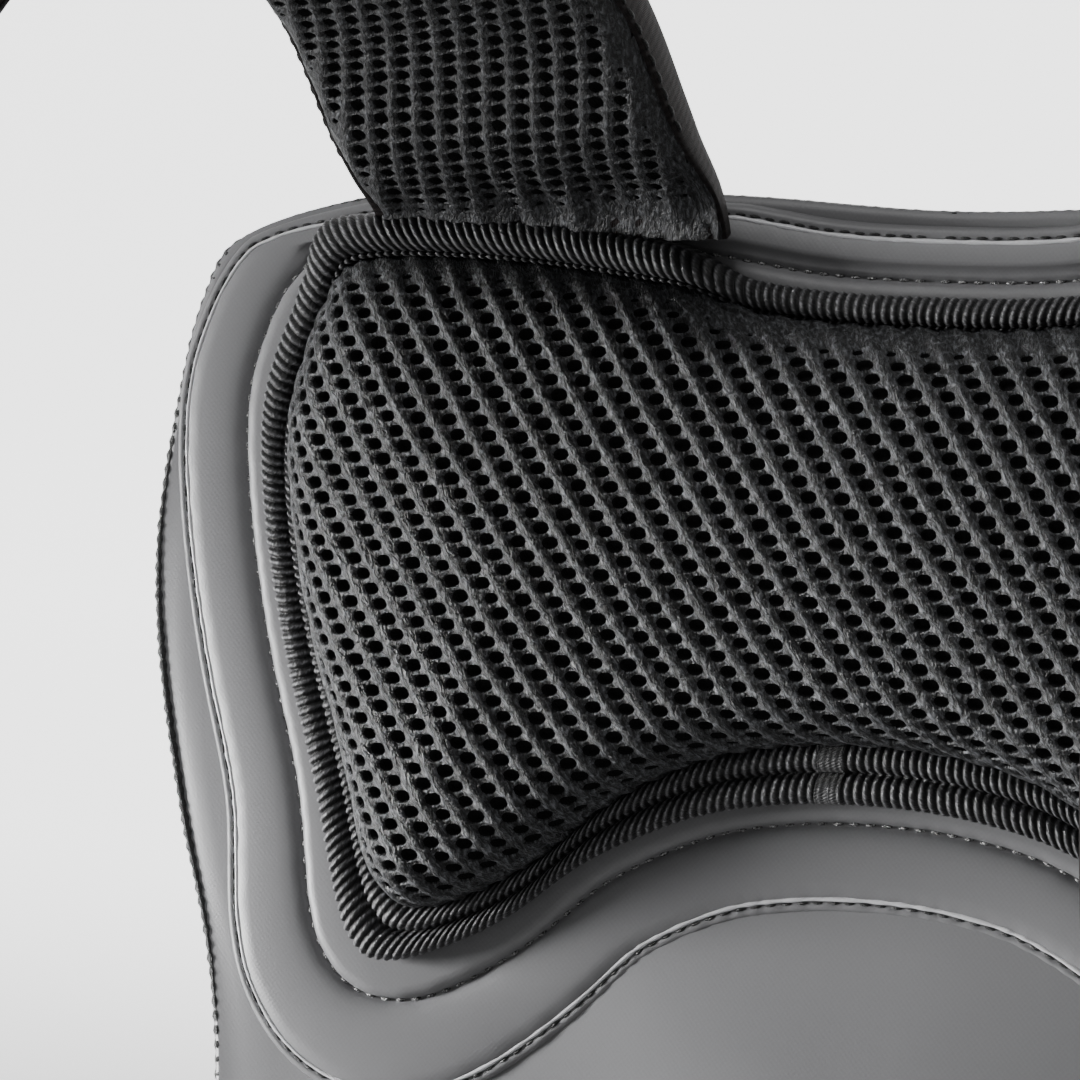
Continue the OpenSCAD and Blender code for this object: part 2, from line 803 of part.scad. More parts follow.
// A side prong: an arm with a catch near its tip
module prong(side) {
    z = cavity_h / 2 - 1 - prong_h / 2;
    color("#1c1c1e") mirror([0, 0, side > 0 ? 0 : 1])
        translate([0, belt_y, z])
            rotate([90, 0, 0])
                linear_extrude(tongue_t, center = true)
                    polygon([[prong_root, -1.5], [prong_root, 1.5], [prong_tip + 15, 2],
                        [prong_tip + 14, 2 + catch_h], [prong_tip + 5, 2 + catch_h],
                        [prong_tip, 0], [prong_tip + 1, -prong_h / 2], [prong_tip + 15, -1.5]]);
}

module prong_upper() { prong(1); }
module prong_lower() { prong(-1); }

base_panel();
comfort_foam();
impact_foam();
outer_cover();
edge_overlock();
upper_band();
upper_carrier();
upper_pad_foam();
upper_pad_mesh();
upper_pad_binding();
lumbar_band();
lumbar_carrier();
lumbar_pad_foam();
lumbar_pad_mesh();
lumbar_pad_binding();
plate_neck();
plate_upper();
plate_middle();
plate_lower();
plate_lumbar();
plate_rivets();
strap_foam(-1);  // strap_foam_left
strap_mesh(-1);  // strap_mesh_left
strap_cover(-1);  // strap_cover_left
strap_foam(1);  // strap_foam_right
strap_mesh(1);  // strap_mesh_right
strap_cover(1);  // strap_cover_right
strap_loop(-1);  // strap_loop_left
strap_loop(1);  // strap_loop_right
ladder_lock(-1);  // ladder_lock_left
ladder_lock(1);  // ladder_lock_right
adjuster(-1);  // adjuster_left
adjuster(1);  // adjuster_right
adjuster_patch(-1);  // adjuster_patch_left
adjuster_patch(1);  // adjuster_patch_right
keeper(-1);  // keeper_left
keeper(1);  // keeper_right
wing_foam(-1);  // wing_foam_left
wing_liner(-1);  // wing_liner_left
wing_skin(-1);  // wing_skin_left
wing_binding(-1);  // wing_binding_left
wing_foam(1);  // wing_foam_right
wing_liner(1);  // wing_liner_right
wing_skin(1);  // wing_skin_right
wing_binding(1);  // wing_binding_right
belt(-1);  // belt_left
belt(1);  // belt_right
belt_slider(-1);  // belt_slider_left
belt_slider(1);  // belt_slider_right
buckle_socket();
buckle_plug();
prong_upper();
prong_lower();
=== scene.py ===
# Back protector for motorcycling, worn on two padded shoulder straps and a waist belt.
# Sizes inside the functions are in millimetres; every mesh is written in metres.
import math

import bmesh
import bpy
import numpy as np
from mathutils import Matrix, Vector

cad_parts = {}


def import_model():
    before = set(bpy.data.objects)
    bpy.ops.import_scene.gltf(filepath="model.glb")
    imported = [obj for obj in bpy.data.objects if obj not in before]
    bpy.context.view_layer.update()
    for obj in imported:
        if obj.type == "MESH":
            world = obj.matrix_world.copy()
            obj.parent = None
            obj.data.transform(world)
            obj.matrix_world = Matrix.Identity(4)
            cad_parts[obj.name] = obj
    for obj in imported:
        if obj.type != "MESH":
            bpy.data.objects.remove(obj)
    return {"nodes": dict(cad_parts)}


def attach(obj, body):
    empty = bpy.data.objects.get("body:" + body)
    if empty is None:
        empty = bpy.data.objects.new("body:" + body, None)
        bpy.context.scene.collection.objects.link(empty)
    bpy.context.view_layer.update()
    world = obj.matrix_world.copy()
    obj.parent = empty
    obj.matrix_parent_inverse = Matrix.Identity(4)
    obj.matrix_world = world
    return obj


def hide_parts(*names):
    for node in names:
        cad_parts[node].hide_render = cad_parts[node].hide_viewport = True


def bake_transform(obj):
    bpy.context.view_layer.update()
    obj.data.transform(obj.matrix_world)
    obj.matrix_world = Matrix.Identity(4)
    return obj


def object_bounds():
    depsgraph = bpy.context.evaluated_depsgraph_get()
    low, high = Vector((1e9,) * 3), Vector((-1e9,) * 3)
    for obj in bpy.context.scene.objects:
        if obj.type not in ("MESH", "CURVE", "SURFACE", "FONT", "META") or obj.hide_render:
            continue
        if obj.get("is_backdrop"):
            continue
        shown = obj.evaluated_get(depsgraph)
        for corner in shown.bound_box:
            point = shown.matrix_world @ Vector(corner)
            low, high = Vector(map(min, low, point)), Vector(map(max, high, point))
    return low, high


bl_info = {
    "name": "Back protector",
    "version": (1, 0, 0),
    "blender": (4, 5, 0),
    "location": "View3D > Sidebar > Protector",
    "description": "Builds a padded back protector with mesh cushions, straps and belt",
    "category": "Add Mesh",
}

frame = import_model()
CAD_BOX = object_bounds()
MM = 0.001

# ---- Sizes shared with the construction model --------------------------------

HALF_W, HALF_WAIST, TOP, TAIL = 134.5, 108.0, 373.0, 112.0
LUMBAR_Z, UPPER_R, LEAN, TAIL_R = 20.0, 560.0, math.radians(15), 400.0
SKIN, COVER_BACK, SEAM = 1.0, 15.0, 16.0
PAD = {"w": 229.0, "h": 112.0, "rise": 30.0, "top": TOP - 8.5, "crown": 18.0}
LOW_PAD = {"w": 150.0, "h": 88.0, "rise": 20.0, "low": -36.0, "crown": 14.0}
SEAT = 5.0
RIM, BAND, TOP_SHARE = 4.2, 13.5, 0.62
CORNER_EXTRA, CORNER_SHARE, CORNER_REACH = 3.2, 0.355, 22.0
CUSHION = [
    (0, .055, 0), (.17, .05, 0), (.35, .027, 0), (.62, 0, 0), (.86, .005, 0),
    (.95, .065, 0), (.99, .155, 0), (1, .255, 0), (.975, .4, 0), (.923, .577, 0),
    (.85, .765, 0), (.795, .925, 0), (.757, .982, 0), (.71, 1, 0), (.64, 1, .05),
    (.525, 1, .26), (.405, 1, .6), (.262, 1, .86), (.13, 1, .97), (0, 1, 1)]


# ---- Curves ------------------------------------------------------------------

def back_y(z):
    """Front face of the panel at a height."""
    z = np.asarray(z, float)
    curve_z = LUMBAR_Z + UPPER_R * math.sin(LEAN)
    curve_y = UPPER_R * (1 - math.cos(LEAN))
    tail = TAIL_R - np.sqrt(TAIL_R ** 2 - np.clip(LUMBAR_Z - z, 0, None) ** 2)
    bend = UPPER_R - np.sqrt(UPPER_R ** 2 - np.clip(z - LUMBAR_Z, 0, curve_z - LUMBAR_Z) ** 2)
    return np.where(z < LUMBAR_Z, tail,
                    np.where(z < curve_z, bend, curve_y + (z - curve_z) * math.tan(LEAN)))


def on_panel(xz, off):
    """Points in front of the panel's face by a distance."""
    xz = np.asarray(xz, float)
    return np.stack([xz[..., 0], back_y(xz[..., 1]) - off, xz[..., 1]], -1)


def both_halves(half):
    half = [tuple(p) for p in half]
    return np.array(half + [(-x, z) for x, z in half[-2:0:-1]], float)


def closed_at(p, u):
    """Smooth closed curve through points p at parameters u, one per point."""
    n = len(p)
    i = np.floor(u).astype(int)
    t = (u - i)[:, None]
    a, b, c, d = (p[(i + k) % n] for k in (-1, 0, 1, 2))
    return 0.5 * (2 * b + (c - a) * t + (2 * a - 5 * b + 4 * c - d) * t ** 2
                  + (3 * b - a - 3 * c + d) * t ** 3)


def open_curve(p, steps):
    p = np.asarray(p, float)
    rows = [p[0], *p, p[-1]]
    out = []
    for a, b, c, d in zip(rows, rows[1:], rows[2:], rows[3:]):
        t = (np.arange(steps) / steps)[:, None]
        out.append(0.5 * (2 * b + (c - a) * t + (2 * a - 5 * b + 4 * c - d) * t ** 2
                          + (3 * b - a - 3 * c + d) * t ** 3))
    return np.concatenate(out + [p[-1:]])


def arc_lengths(p, closed):
    step = np.roll(p, -1, 0) - p if closed else p[1:] - p[:-1]
    return np.concatenate([[0], np.cumsum(np.linalg.norm(step, axis=1))])


def even_parameters(p, count):
    """Parameters that space points evenly along the closed curve through p."""
    u = np.linspace(0, len(p), len(p) * 40, endpoint=False)
    s = arc_lengths(closed_at(p, u), True)
    return np.interp(np.arange(count) / count * s[-1], s, np.append(u, len(p)))


def resample(p, count, closed=True):
    s = arc_lengths(p, closed)
    q = np.vstack([p, p[:1]]) if closed else p
    at = np.arange(count) / (count if closed else count - 1) * s[-1]
    return np.stack([np.interp(at, s, q[:, k]) for k in range(p.shape[1])], -1)


def outset(p, side, up):
    """Clockwise outline moved outwards by side, and by up where it faces up."""
    t = np.roll(p, -1, 0) - np.roll(p, 1, 0)
    t /= np.linalg.norm(t, axis=1)[:, None]
    out = np.stack([-t[:, 1], t[:, 0]], -1)
    lift = np.clip(out[:, 1], 0, None)[:, None] ** 2
    return p + out * (side + (up - side) * lift)


def base_points():
    t, w, k = HALF_W - HALF_WAIST, HALF_W, HALF_WAIST
    return both_halves([
        (0, TOP - 1.5), (.27 * w, TOP), (.6 * w, TOP + .5), (.78 * w, TOP - 2.3),
        (.93 * w, TOP - 9), (.974 * w, TOP - 19), (.992 * w, TOP - 34), (w, TOP - 57),
        (k + .89 * t, TOP - 77), (k + .62 * t, TOP - 101), (k + .29 * t, TOP - 125),
        (k + .12 * t, TOP - 148), (k + .03 * t, TOP - 185), (k, TOP - 235), (k, 60), (k, 0),
        (k, -52), (.965 * k, -.67 * TAIL), (.84 * k, -.85 * TAIL), (.56 * k, -.96 * TAIL),
        (0, -TAIL)])


def pad_points(pad, margin):
    half = [(a * (pad["w"] / 2 - margin),
             pad["rise"] * c - (pad["h"] - 2 * margin) * b) for a, b, c in CUSHION]
    if "top" in pad:
        return both_halves([(x, pad["top"] - margin + z) for x, z in half])
    return both_halves([(x, pad["low"] + margin - z) for x, z in half[::-1]])


def polar(points, centre, angle):
    """Radius of an outline round a centre, at angles."""
    d = points - centre
    a = np.arctan2(d[:, 1], d[:, 0])
    order = np.argsort(a)
    a, r = a[order], np.linalg.norm(d, axis=1)[order]
    return np.interp(angle, np.concatenate([a - 2 * np.pi, a, a + 2 * np.pi]), np.tile(r, 3))


def held_inside(p, limit, centre, gap):
    """Moves points of p that pass the outline limit back inside it by a gap."""
    d = p - centre
    r = np.linalg.norm(d, axis=1)
    most = polar(limit, centre, np.arctan2(d[:, 1], d[:, 0])) - gap
    return centre + d * np.minimum(1, most / r)[:, None]


def smooth(x, low, high):
    t = np.clip((np.asarray(x, float) - low) / (high - low), 0, 1)
    return t * t * (3 - 2 * t)


# ---- Meshes ------------------------------------------------------------------

def loft(rings, closed=True, caps=(False, False)):
    """Quads between rings of points; a cap closes the first or last ring at its middle."""
    rings = np.asarray(rings, float)
    m, n = rings.shape[:2]
    verts = rings.reshape(-1, 3)
    last = n if closed else n - 1
    faces = [(i * n + k, i * n + (k + 1) % n, (i + 1) * n + (k + 1) % n, (i + 1) * n + k)
             for i in range(m - 1) for k in range(last)]
    for flag, row in zip(caps, (0, m - 1)):
        if flag:
            centre = len(verts)
            verts = np.vstack([verts, verts[row * n:(row + 1) * n].mean(0)])
            ring = [(row * n + k, row * n + (k + 1) % n) for k in range(n)]
            faces += [(b, a, centre) if row == 0 else (a, b, centre) for a, b in ring]
    return verts, faces


def loft_uv(rings, extra=0):
    """Distance along and across a loft, in millimetres, for each point."""
    rings = np.asarray(rings, float)
    m, n = rings.shape[:2]
    along = arc_lengths(rings[m // 2], False)
    across = arc_lengths(rings[:, n // 4], False)
    uv = np.stack(np.meshgrid(along, across), -1).reshape(-1, 2)
    return np.vstack([uv, np.zeros((extra, 2))])


def make(name, verts, faces, materials, body="protector", replaces=(), uv=None,
         face_material=None, weld=False):
    """A new piece from points in millimetres; it rides on a body and takes a finish."""
    mesh = bpy.data.meshes.new(name)
    mesh.from_pydata((np.asarray(verts) * MM).tolist(), [], [tuple(map(int, f)) for f in faces])
    materials = materials if isinstance(materials, (list, tuple)) else [materials]
    for m in materials:
        mesh.materials.append(m)
    if uv is not None:
        layer = mesh.uv_layers.new(name="UVMap")
        index = np.empty(len(mesh.loops), int)
        mesh.loops.foreach_get("vertex_index", index)
        layer.data.foreach_set("uv", (np.asarray(uv)[index] * MM).ravel())
    if face_material is not None:
        mesh.polygons.foreach_set("material_index", np.asarray(face_material, np.int32))
    mesh.polygons.foreach_set("use_smooth", np.full(len(mesh.polygons), True))
    if weld:
        work = bmesh.new()
        work.from_mesh(mesh)
        bmesh.ops.recalc_face_normals(work, faces=work.faces)
        work.to_mesh(mesh)
        work.free()
    mesh.update()
    obj = bpy.data.objects.new(name, mesh)
    bpy.context.scene.collection.objects.link(obj)
    if body:
        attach(obj, body)
    if replaces:
        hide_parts(*replaces)
    return obj


def skin(name, rows, kind, replaces=(), caps=(True, True), body="protector", uv=None):
    """A piece lofted over rows of points, with one finish."""
    v, f = loft(rows, True, caps)
    return make(name, v, f, finish(kind), body, replaces, uv, weld=True)


def merged(parts):
    """Joins lists of (verts, faces) into one."""
    verts, faces, start = [], [], 0
    for v, f in parts:
        verts.append(np.asarray(v))
        faces += [tuple(start + i for i in face) for face in f]
        start += len(v)
    return np.vstack(verts), faces


def stitches(path, normal, pitch, length, radius, sink=0.25):
    """Thread stitches laid along a path, each a small spindle that dips at its ends."""
    s = arc_lengths(path, False)
    count = int(s[-1] / pitch)
    parts = []
    ring = np.linspace(0, 2 * np.pi, 6, endpoint=False)
    for i in range(count):
        at = (i + 0.5) * pitch + np.linspace(-0.5, 0.5, 5) * length
        at = np.clip(at, 0, s[-1])
        p = np.stack([np.interp(at, s, path[:, k]) for k in range(3)], -1)
        n = np.stack([np.interp(at, s, normal[:, k]) for k in range(3)], -1)
        t = p[-1] - p[0]
        t /= max(np.linalg.norm(t), 1e-6)
        side = np.cross(n, t)
        r = radius * np.array([0.35, 0.9, 1.0, 0.9, 0.35])
        p = p + n * (radius * 0.7 - sink * np.array([2.0, 0.4, 0, 0.4, 2.0]))[:, None]
        rings = [p[k] + r[k] * (np.outer(np.cos(ring), side[k]) + np.outer(np.sin(ring), n[k]))
                 for k in range(5)]
        parts.append(loft(rings, True, (True, True)))
    return merged(parts)


def sew(name, path, normal, sizes, kind="stitch_dark", body="protector"):
    """A line of stitches as a piece; sizes are its pitch, length, radius and sink."""
    v, f = stitches(path, np.broadcast_to(normal, path.shape), *sizes)
    make(name, v, f, finish(kind), body)


def nearest(points, outline):
    """Signed distance inside a clockwise outline, with the nearest point and the way in."""
    a, b = outline, np.roll(outline, -1, 0)
    ab = b - a
    length2 = (ab ** 2).sum(1)
    best = np.full(len(points), 1e9)
    foot = np.zeros((len(points), 2))
    which = np.zeros(len(points), int)
    for i in range(0, len(points), 2000):
        p = points[i:i + 2000, None]
        t = np.clip(((p - a) * ab).sum(2) / length2, 0, 1)
        q = a + ab * t[..., None]
        d = np.linalg.norm(p - q, axis=2)
        k = d.argmin(1)
        rows = np.arange(len(k))
        best[i:i + 2000], which[i:i + 2000] = d[rows, k], k
        foot[i:i + 2000] = q[rows, k]
    inward = np.stack([ab[:, 1], -ab[:, 0]], -1) / np.sqrt(length2)[:, None]
    way = inward[which]
    signed = np.where(((points - foot) * way).sum(1) >= 0, best, -best)
    dir_in = (points - foot) / np.where(np.abs(signed) > 1e-3, signed, 1)[:, None]
    dir_in = np.where(np.abs(signed)[:, None] > 1e-3, dir_in, way)
    return signed, foot, dir_in


def air_mesh(columns, rows, pitch, row, shift, hole, keep, openness, place, side=12):
    """Knitted spacer face as real cells: a raised rib on each side of a chain of holes."""
    edge = {12: [(0, 0), (.25, 0), (.5, 0), (.75, 0), (1, 0), (1, .5), (1, 1), (.75, 1),
                 (.5, 1), (.25, 1), (0, 1), (0, .5)],
            8: [(0, 0), (.5, 0), (1, 0), (1, .5), (1, 1), (.5, 1), (0, 1), (0, .5)]}[side]
    edge = np.array(edge)
    local = np.stack([edge[:, 0] * pitch + edge[:, 1] * shift, -edge[:, 1] * row], -1)
    middle = np.array([pitch / 2 + shift / 2, -row / 2])
    turn = np.arctan2((local - middle)[:, 1] / hole[1], (local - middle)[:, 0] / hole[0])
    circle = np.stack([np.cos(turn) * hole[0], np.sin(turn) * hole[1]], -1)
    rib = np.where((edge[:, 0] == 0) | (edge[:, 0] == 1), 0.5,
                   np.where(edge[:, 0] == .5, -0.45, 0.0))
    k, j = np.meshgrid(np.arange(*columns), np.arange(*rows))
    k, j = k.ravel(), j.ravel()
    corner = np.stack([k * pitch + j * shift, -j * row], -1).astype(float)
    centre = corner + middle
    inside = keep(centre)
    corner, centre, k, j = corner[inside], centre[inside], k[inside], j[inside]
    size = openness(centre)
    wobble = 1 + 0.09 * np.sin(k * 12.9898 + j * 78.233) * np.sin(k * 3.7 + j * 1.3)
    verts, height, faces, finish = [], [], [], []
    index = {}
    for c in range(len(corner)):
        ids = []
        for e in range(side):
            key = (round((k[c] + edge[e, 0]) * 4), round((j[c] + edge[e, 1]) * 4))
            if key not in index:
                index[key] = len(verts)
                verts.append(corner[c] + local[e])
                height.append(rib[e])
            ids.append(index[key])
        rings = [ids]
        z = size[c]
        w = wobble[c]
        levels = [(1.14, 0.12), (1.0, -0.25), (0.9, -0.30 - 1.2 * z)] if z > 0.15 else \
            [(0.5, 0.02)]
        for scale, level in levels:
            start = len(verts)
            grow = scale * (w * max(z, 0.15) if z > 0.15 else 1)
            verts.extend(centre[c] + circle * grow)
            height.extend([level] * side)
            rings.append(list(range(start, start + side)))
        for level, (outer, inner) in enumerate(zip(rings, rings[1:])):
            for e in range(side):
                f = (e + 1) % side
                faces.append((outer[f], outer[e], inner[e], inner[f]))
                finish.append(0 if level < 2 else 1)
        faces.append(tuple(rings[-1][::-1]))
        finish.append(1 if z > 0.15 else 0)
    plane = np.array(verts)
    return place(plane, np.array(height)), faces, finish, plane


def knit(name, kind, nodes, cells, body="protector"):
    """A padded piece of air mesh; cells are what air_mesh is asked for."""
    v, f, which, plane = air_mesh(*cells)
    piece = make(name, v, f, [finish(kind), finish("pit")], body, nodes, plane, which)


# ---- Finishes ----------------------------------------------------------------

def fill(tree, inputs, values):
    """Links each named input to a socket, or sets its value."""
    for key, value in values.items():
        if isinstance(value, bpy.types.NodeSocket):
            tree.links.new(value, inputs[key])
        else:
            inputs[key].default_value = value


def add(tree, kind, values=None, **settings):
    """A shader node with its settings, its socket values and its links."""
    n = tree.nodes.new(kind)
    for key, value in settings.items():
        setattr(n, key, value)
    fill(tree, n.inputs, values or {})
    return n


def group(name, inputs, outputs, build):
    """A node group made once; build(tree, source) returns its output sockets by name."""
    tree = bpy.data.node_groups.get(name)
    if tree:
        return tree
    tree = bpy.data.node_groups.new(name, "ShaderNodeTree")
    for label, kind, value in inputs:
        s = tree.interface.new_socket(label, in_out="INPUT", socket_type=kind)
        if value is not None:
            s.default_value = value
    for label, kind in outputs:
        tree.interface.new_socket(label, in_out="OUTPUT", socket_type=kind)
    source = tree.nodes.new("NodeGroupInput")
    sink = tree.nodes.new("NodeGroupOutput")
    for label, socket in build(tree, source.outputs).items():
        tree.links.new(socket, sink.inputs[label])
    return tree


def maths(tree, operation, a, b=None, c=None, clamp=False):
    values = {i: v for i, v in enumerate((a, b, c)) if v is not None}
    return add(tree, "ShaderNodeMath", values, operation=operation, use_clamp=clamp).outputs[0]


def mottle_group():
    """Soft uneven tone and fine grain, the same on every material that uses it."""
    def build(t, i):
        wide = add(t, "ShaderNodeTexNoise", {"Vector": i["Vector"], "Scale": i["Patch"],
                                              "Detail": 3.0, "Roughness": 0.6})
        fine = add(t, "ShaderNodeTexNoise", {"Vector": i["Vector"], "Scale": i["Grain"],
                                              "Detail": 2.0, "Roughness": 0.5})
        return {"Tone": wide.outputs["Fac"], "Grain": fine.outputs["Fac"]}
    return group("uneven_tone", [("Vector", "NodeSocketVector", None),
                                 ("Patch", "NodeSocketFloat", 18.0),
                                 ("Grain", "NodeSocketFloat", 2500.0)],
                 [("Tone", "NodeSocketFloat"), ("Grain", "NodeSocketFloat")], build)


def weave_group():
    """Plain or twill weave: the height of its threads."""
    def build(t, i):
        xyz = add(t, "ShaderNodeSeparateXYZ", {0: i["Vector"]})
        turn = maths(t, "DIVIDE", 2 * math.pi, i["Pitch"])
        u = maths(t, "MULTIPLY", xyz.outputs[0], turn)
        v = maths(t, "MULTIPLY", xyz.outputs[1], turn)
        v = maths(t, "ADD", v, maths(t, "MULTIPLY", u, i["Twill"]))
        product = maths(t, "MULTIPLY", maths(t, "SINE", u), maths(t, "SINE", v))
        return {"Height": maths(t, "MULTIPLY_ADD", product, 0.5, 0.5)}
    return group("weave", [("Vector", "NodeSocketVector", None),
                           ("Pitch", "NodeSocketFloat", 0.0006),
                           ("Twill", "NodeSocketFloat", 0.0)],
                 [("Height", "NodeSocketFloat")], build)


def yarn_group():
    """Many-stranded yarn: broken fine strands that lean across its run."""
    def build(t, i):
        turned = add(t, "ShaderNodeVectorRotate", {"Vector": i["Vector"], "Angle": i["Lean"]},
                     rotation_type="Z_AXIS")
        stretched = add(t, "ShaderNodeVectorMath", {0: turned.outputs[0], 1: (1.0, 0.42, 1.0)},
                        operation="MULTIPLY")
        strands = add(t, "ShaderNodeTexNoise", {"Vector": stretched.outputs[0],
                                                 "Scale": i["Strands"], "Detail": 3.0,
                                                 "Roughness": 0.65, "Distortion": 0.6})
        crisp = add(t, "ShaderNodeMapRange", {"Value": strands.outputs["Fac"],
                                               "From Min": 0.36, "From Max": 0.68})
        return {"Height": crisp.outputs[0], "Light": maths(t, "POWER", crisp.outputs[0], 2.2)}
    return group("yarn", [("Vector", "NodeSocketVector", None),
                          ("Strands", "NodeSocketFloat", 2400.0),
                          ("Lean", "NodeSocketFloat", 0.5)],
                 [("Height", "NodeSocketFloat"), ("Light", "NodeSocketFloat")], build)


def use(tree, node_group, values):
    return add(tree, "ShaderNodeGroup", values, node_tree=node_group).outputs


def material(name, coordinate="Object"):
    """A new material, its tree, its shader's inputs and the coordinate it is drawn by."""
    m = bpy.data.materials.new(name)
    m.use_nodes = True
    t = m.node_tree
    at = add(t, "ShaderNodeTexCoord").outputs[coordinate]
    return m, t, t.nodes["Principled BSDF"].inputs, at


def tone(tree, factor, dark, light):
    return add(tree, "ShaderNodeMix", {"Factor": factor, 6: (*dark, 1), 7: (*light, 1)},
               data_type="RGBA").outputs[2]


def bump(tree, height, distance, strength=1.0):
    return add(tree, "ShaderNodeBump", {"Height": height, "Distance": distance,
                                        "Strength": strength}).outputs[0]


def scaled(color, k):
    return tuple(min(1.0, c * k) for c in color)


def coated_fabric(name, color, rough=0.46):
    """Satin coated cloth, its base weave just showing through."""
    m, t, s, at = material(name)
    flat = add(t, "ShaderNodeVectorRotate", {"Vector": at, "Angle": math.pi / 2},
               rotation_type="X_AXIS").outputs[0]
    spot = use(t, mottle_group(), {"Vector": at, "Patch": 22.0, "Grain": 2600.0})
    cloth = use(t, weave_group(), {"Vector": flat, "Pitch": 0.0009})
    grain = maths(t, "MULTIPLY", spot["Grain"], 0.3)
    level = maths(t, "MULTIPLY_ADD", cloth["Height"], 0.16,
                  maths(t, "MULTIPLY_ADD", spot["Tone"], 0.6, grain))
    height = maths(t, "MULTIPLY_ADD", cloth["Height"], 0.5, spot["Grain"])
    fill(t, s, {"Base Color": tone(t, level, scaled(color, 0.84), scaled(color, 1.14)),
                "Roughness": maths(t, "MULTIPLY_ADD", spot["Tone"], 0.16, rough - 0.08),
                "Normal": bump(t, height, 0.00004, 0.5)})
    return m


def knitted(name, dark, light, lean):
    """Knitted yarn in the fabric's own directions; its broken bright strands are painted
    highlights, glints on the dark yarn.
    """
    m, t, s, uv = material(name, "UV")
    strand = use(t, yarn_group(), {"Vector": uv, "Strands": 1700.0, "Lean": lean})
    spot = use(t, mottle_group(), {"Vector": uv, "Patch": 30.0, "Grain": 900.0})
    # Painted highlight: the bright strands stand in for glints on the yarn
    level = maths(t, "MULTIPLY", strand["Light"],
                  maths(t, "MULTIPLY_ADD", spot["Grain"], 1.6, 0.2), clamp=True)
    fill(t, s, {"Base Color": tone(t, level, dark, light), "Roughness": 0.5,
                "Sheen Weight": 0.04, "Sheen Roughness": 0.5,
                "Normal": bump(t, strand["Height"], 0.0003)})
    return m


def dark_backing(name, color):
    """Dull inside of the air mesh, seen through its holes."""
    m, t, s, at = material(name)
    spot = use(t, mottle_group(), {"Vector": at, "Patch": 400.0, "Grain": 3000.0})
    fill(t, s, {"Base Color": tone(t, spot["Grain"], scaled(color, 0.3), color),
                "Roughness": 0.9, "Normal": bump(t, spot["Grain"], 0.0002)})
    return m


def ribbed_tape(name, dark, light):
    """Grosgrain: each modelled rib is a twisted thread; the crest of each rib and its glinting
    strands are coloured lighter, a painted highlight.
    """
    m, t, s, uv = material(name, "UV")
    strand = use(t, yarn_group(), {"Vector": uv, "Strands": 1900.0, "Lean": 0.9})
    across = add(t, "ShaderNodeSeparateXYZ", {0: uv}).outputs[0]
    turn = maths(t, "MULTIPLY", across, 2 * math.pi / (RIB * MM))
    # Painted highlight: the crest of each rib is coloured lighter than its sides
    crest_highlight = maths(t, "POWER", maths(t, "MULTIPLY_ADD", maths(t, "COSINE", turn), 0.5, 0.5), 3.0)
    level = maths(t, "MULTIPLY", crest_highlight, maths(t, "MULTIPLY_ADD", strand["Light"], 1.3, 0.25),
                  clamp=True)
    fill(t, s, {"Base Color": tone(t, level, dark, light), "Roughness": 0.45,
                "Sheen Weight": 0.02, "Normal": bump(t, strand["Height"], 0.00015)})
    return m


def woven(name, dark, light, pitch=0.0011, shine=0.5):
    """Woven webbing or twill."""
    m, t, s, uv = material(name, "UV")
    cloth = use(t, weave_group(), {"Vector": uv, "Pitch": pitch, "Twill": 1.0})
    spot = use(t, mottle_group(), {"Vector": uv, "Patch": 60.0, "Grain": 2400.0})
    level = maths(t, "MULTIPLY", cloth["Height"],
                  maths(t, "MULTIPLY_ADD", spot["Grain"], 1.1, 0.3), clamp=True)
    fill(t, s, {"Base Color": tone(t, level, dark, light),
                "Roughness": maths(t, "MULTIPLY_ADD", spot["Tone"], 0.2, 0.5),
                "Sheen Weight": 0.3 * shine, "Specular IOR Level": shine,
                "Normal": bump(t, cloth["Height"], 0.0002)})
    return m


def moulded(name, color, rough, grain):
    """Moulded plastic with a fine spark-eroded grain."""
    m, t, s, at = material(name)
    spot = use(t, mottle_group(), {"Vector": at, "Patch": 35.0, "Grain": grain})
    fill(t, s, {"Base Color": tone(t, spot["Tone"], scaled(color, 0.8), scaled(color, 1.25)),
                "Roughness": maths(t, "MULTIPLY_ADD", spot["Grain"], 0.25, rough - 0.1),
                "Normal": bump(t, spot["Grain"], 0.00009, 0.7)})
    return m


# Middle of the floor's own light, in metres
GLOW_AT = (-1.3, 2.9, 0.3)


def plain_floor(name, color):
    """Matt floor, lit from within away from the piece and most of all behind it."""
    m, t, s, at = material(name)
    spot = use(t, mottle_group(), {"Vector": at, "Patch": 0.4, "Grain": 900.0})
    away = add(t, "ShaderNodeVectorMath", {0: at, 1: GLOW_AT}, operation="DISTANCE")
    glow = add(t, "ShaderNodeMapRange", {"Value": away.outputs["Value"], "From Min": 2.3,
                                         "From Max": 1.2, "To Min": 0.16},
               interpolation_type="SMOOTHSTEP").outputs[0]
    near = add(t, "ShaderNodeVectorMath", {0: at}, operation="LENGTH").outputs["Value"]
    clear = add(t, "ShaderNodeMapRange", {"Value": near, "From Min": 0.2, "From Max": 0.9},
                interpolation_type="SMOOTHSTEP").outputs[0]
    glow = maths(t, "MULTIPLY", glow, clear)
    fill(t, s, {"Base Color": tone(t, spot["Tone"], scaled(color, 0.99), color),
                "Roughness": 0.85, "Normal": bump(t, spot["Grain"], 0.00004, 0.3),
                "Emission Color": tone(t, glow, (0.0, 0.0, 0.0), (1.0, 1.0, 1.0)),
                "Emission Strength": 2.6})
    return m


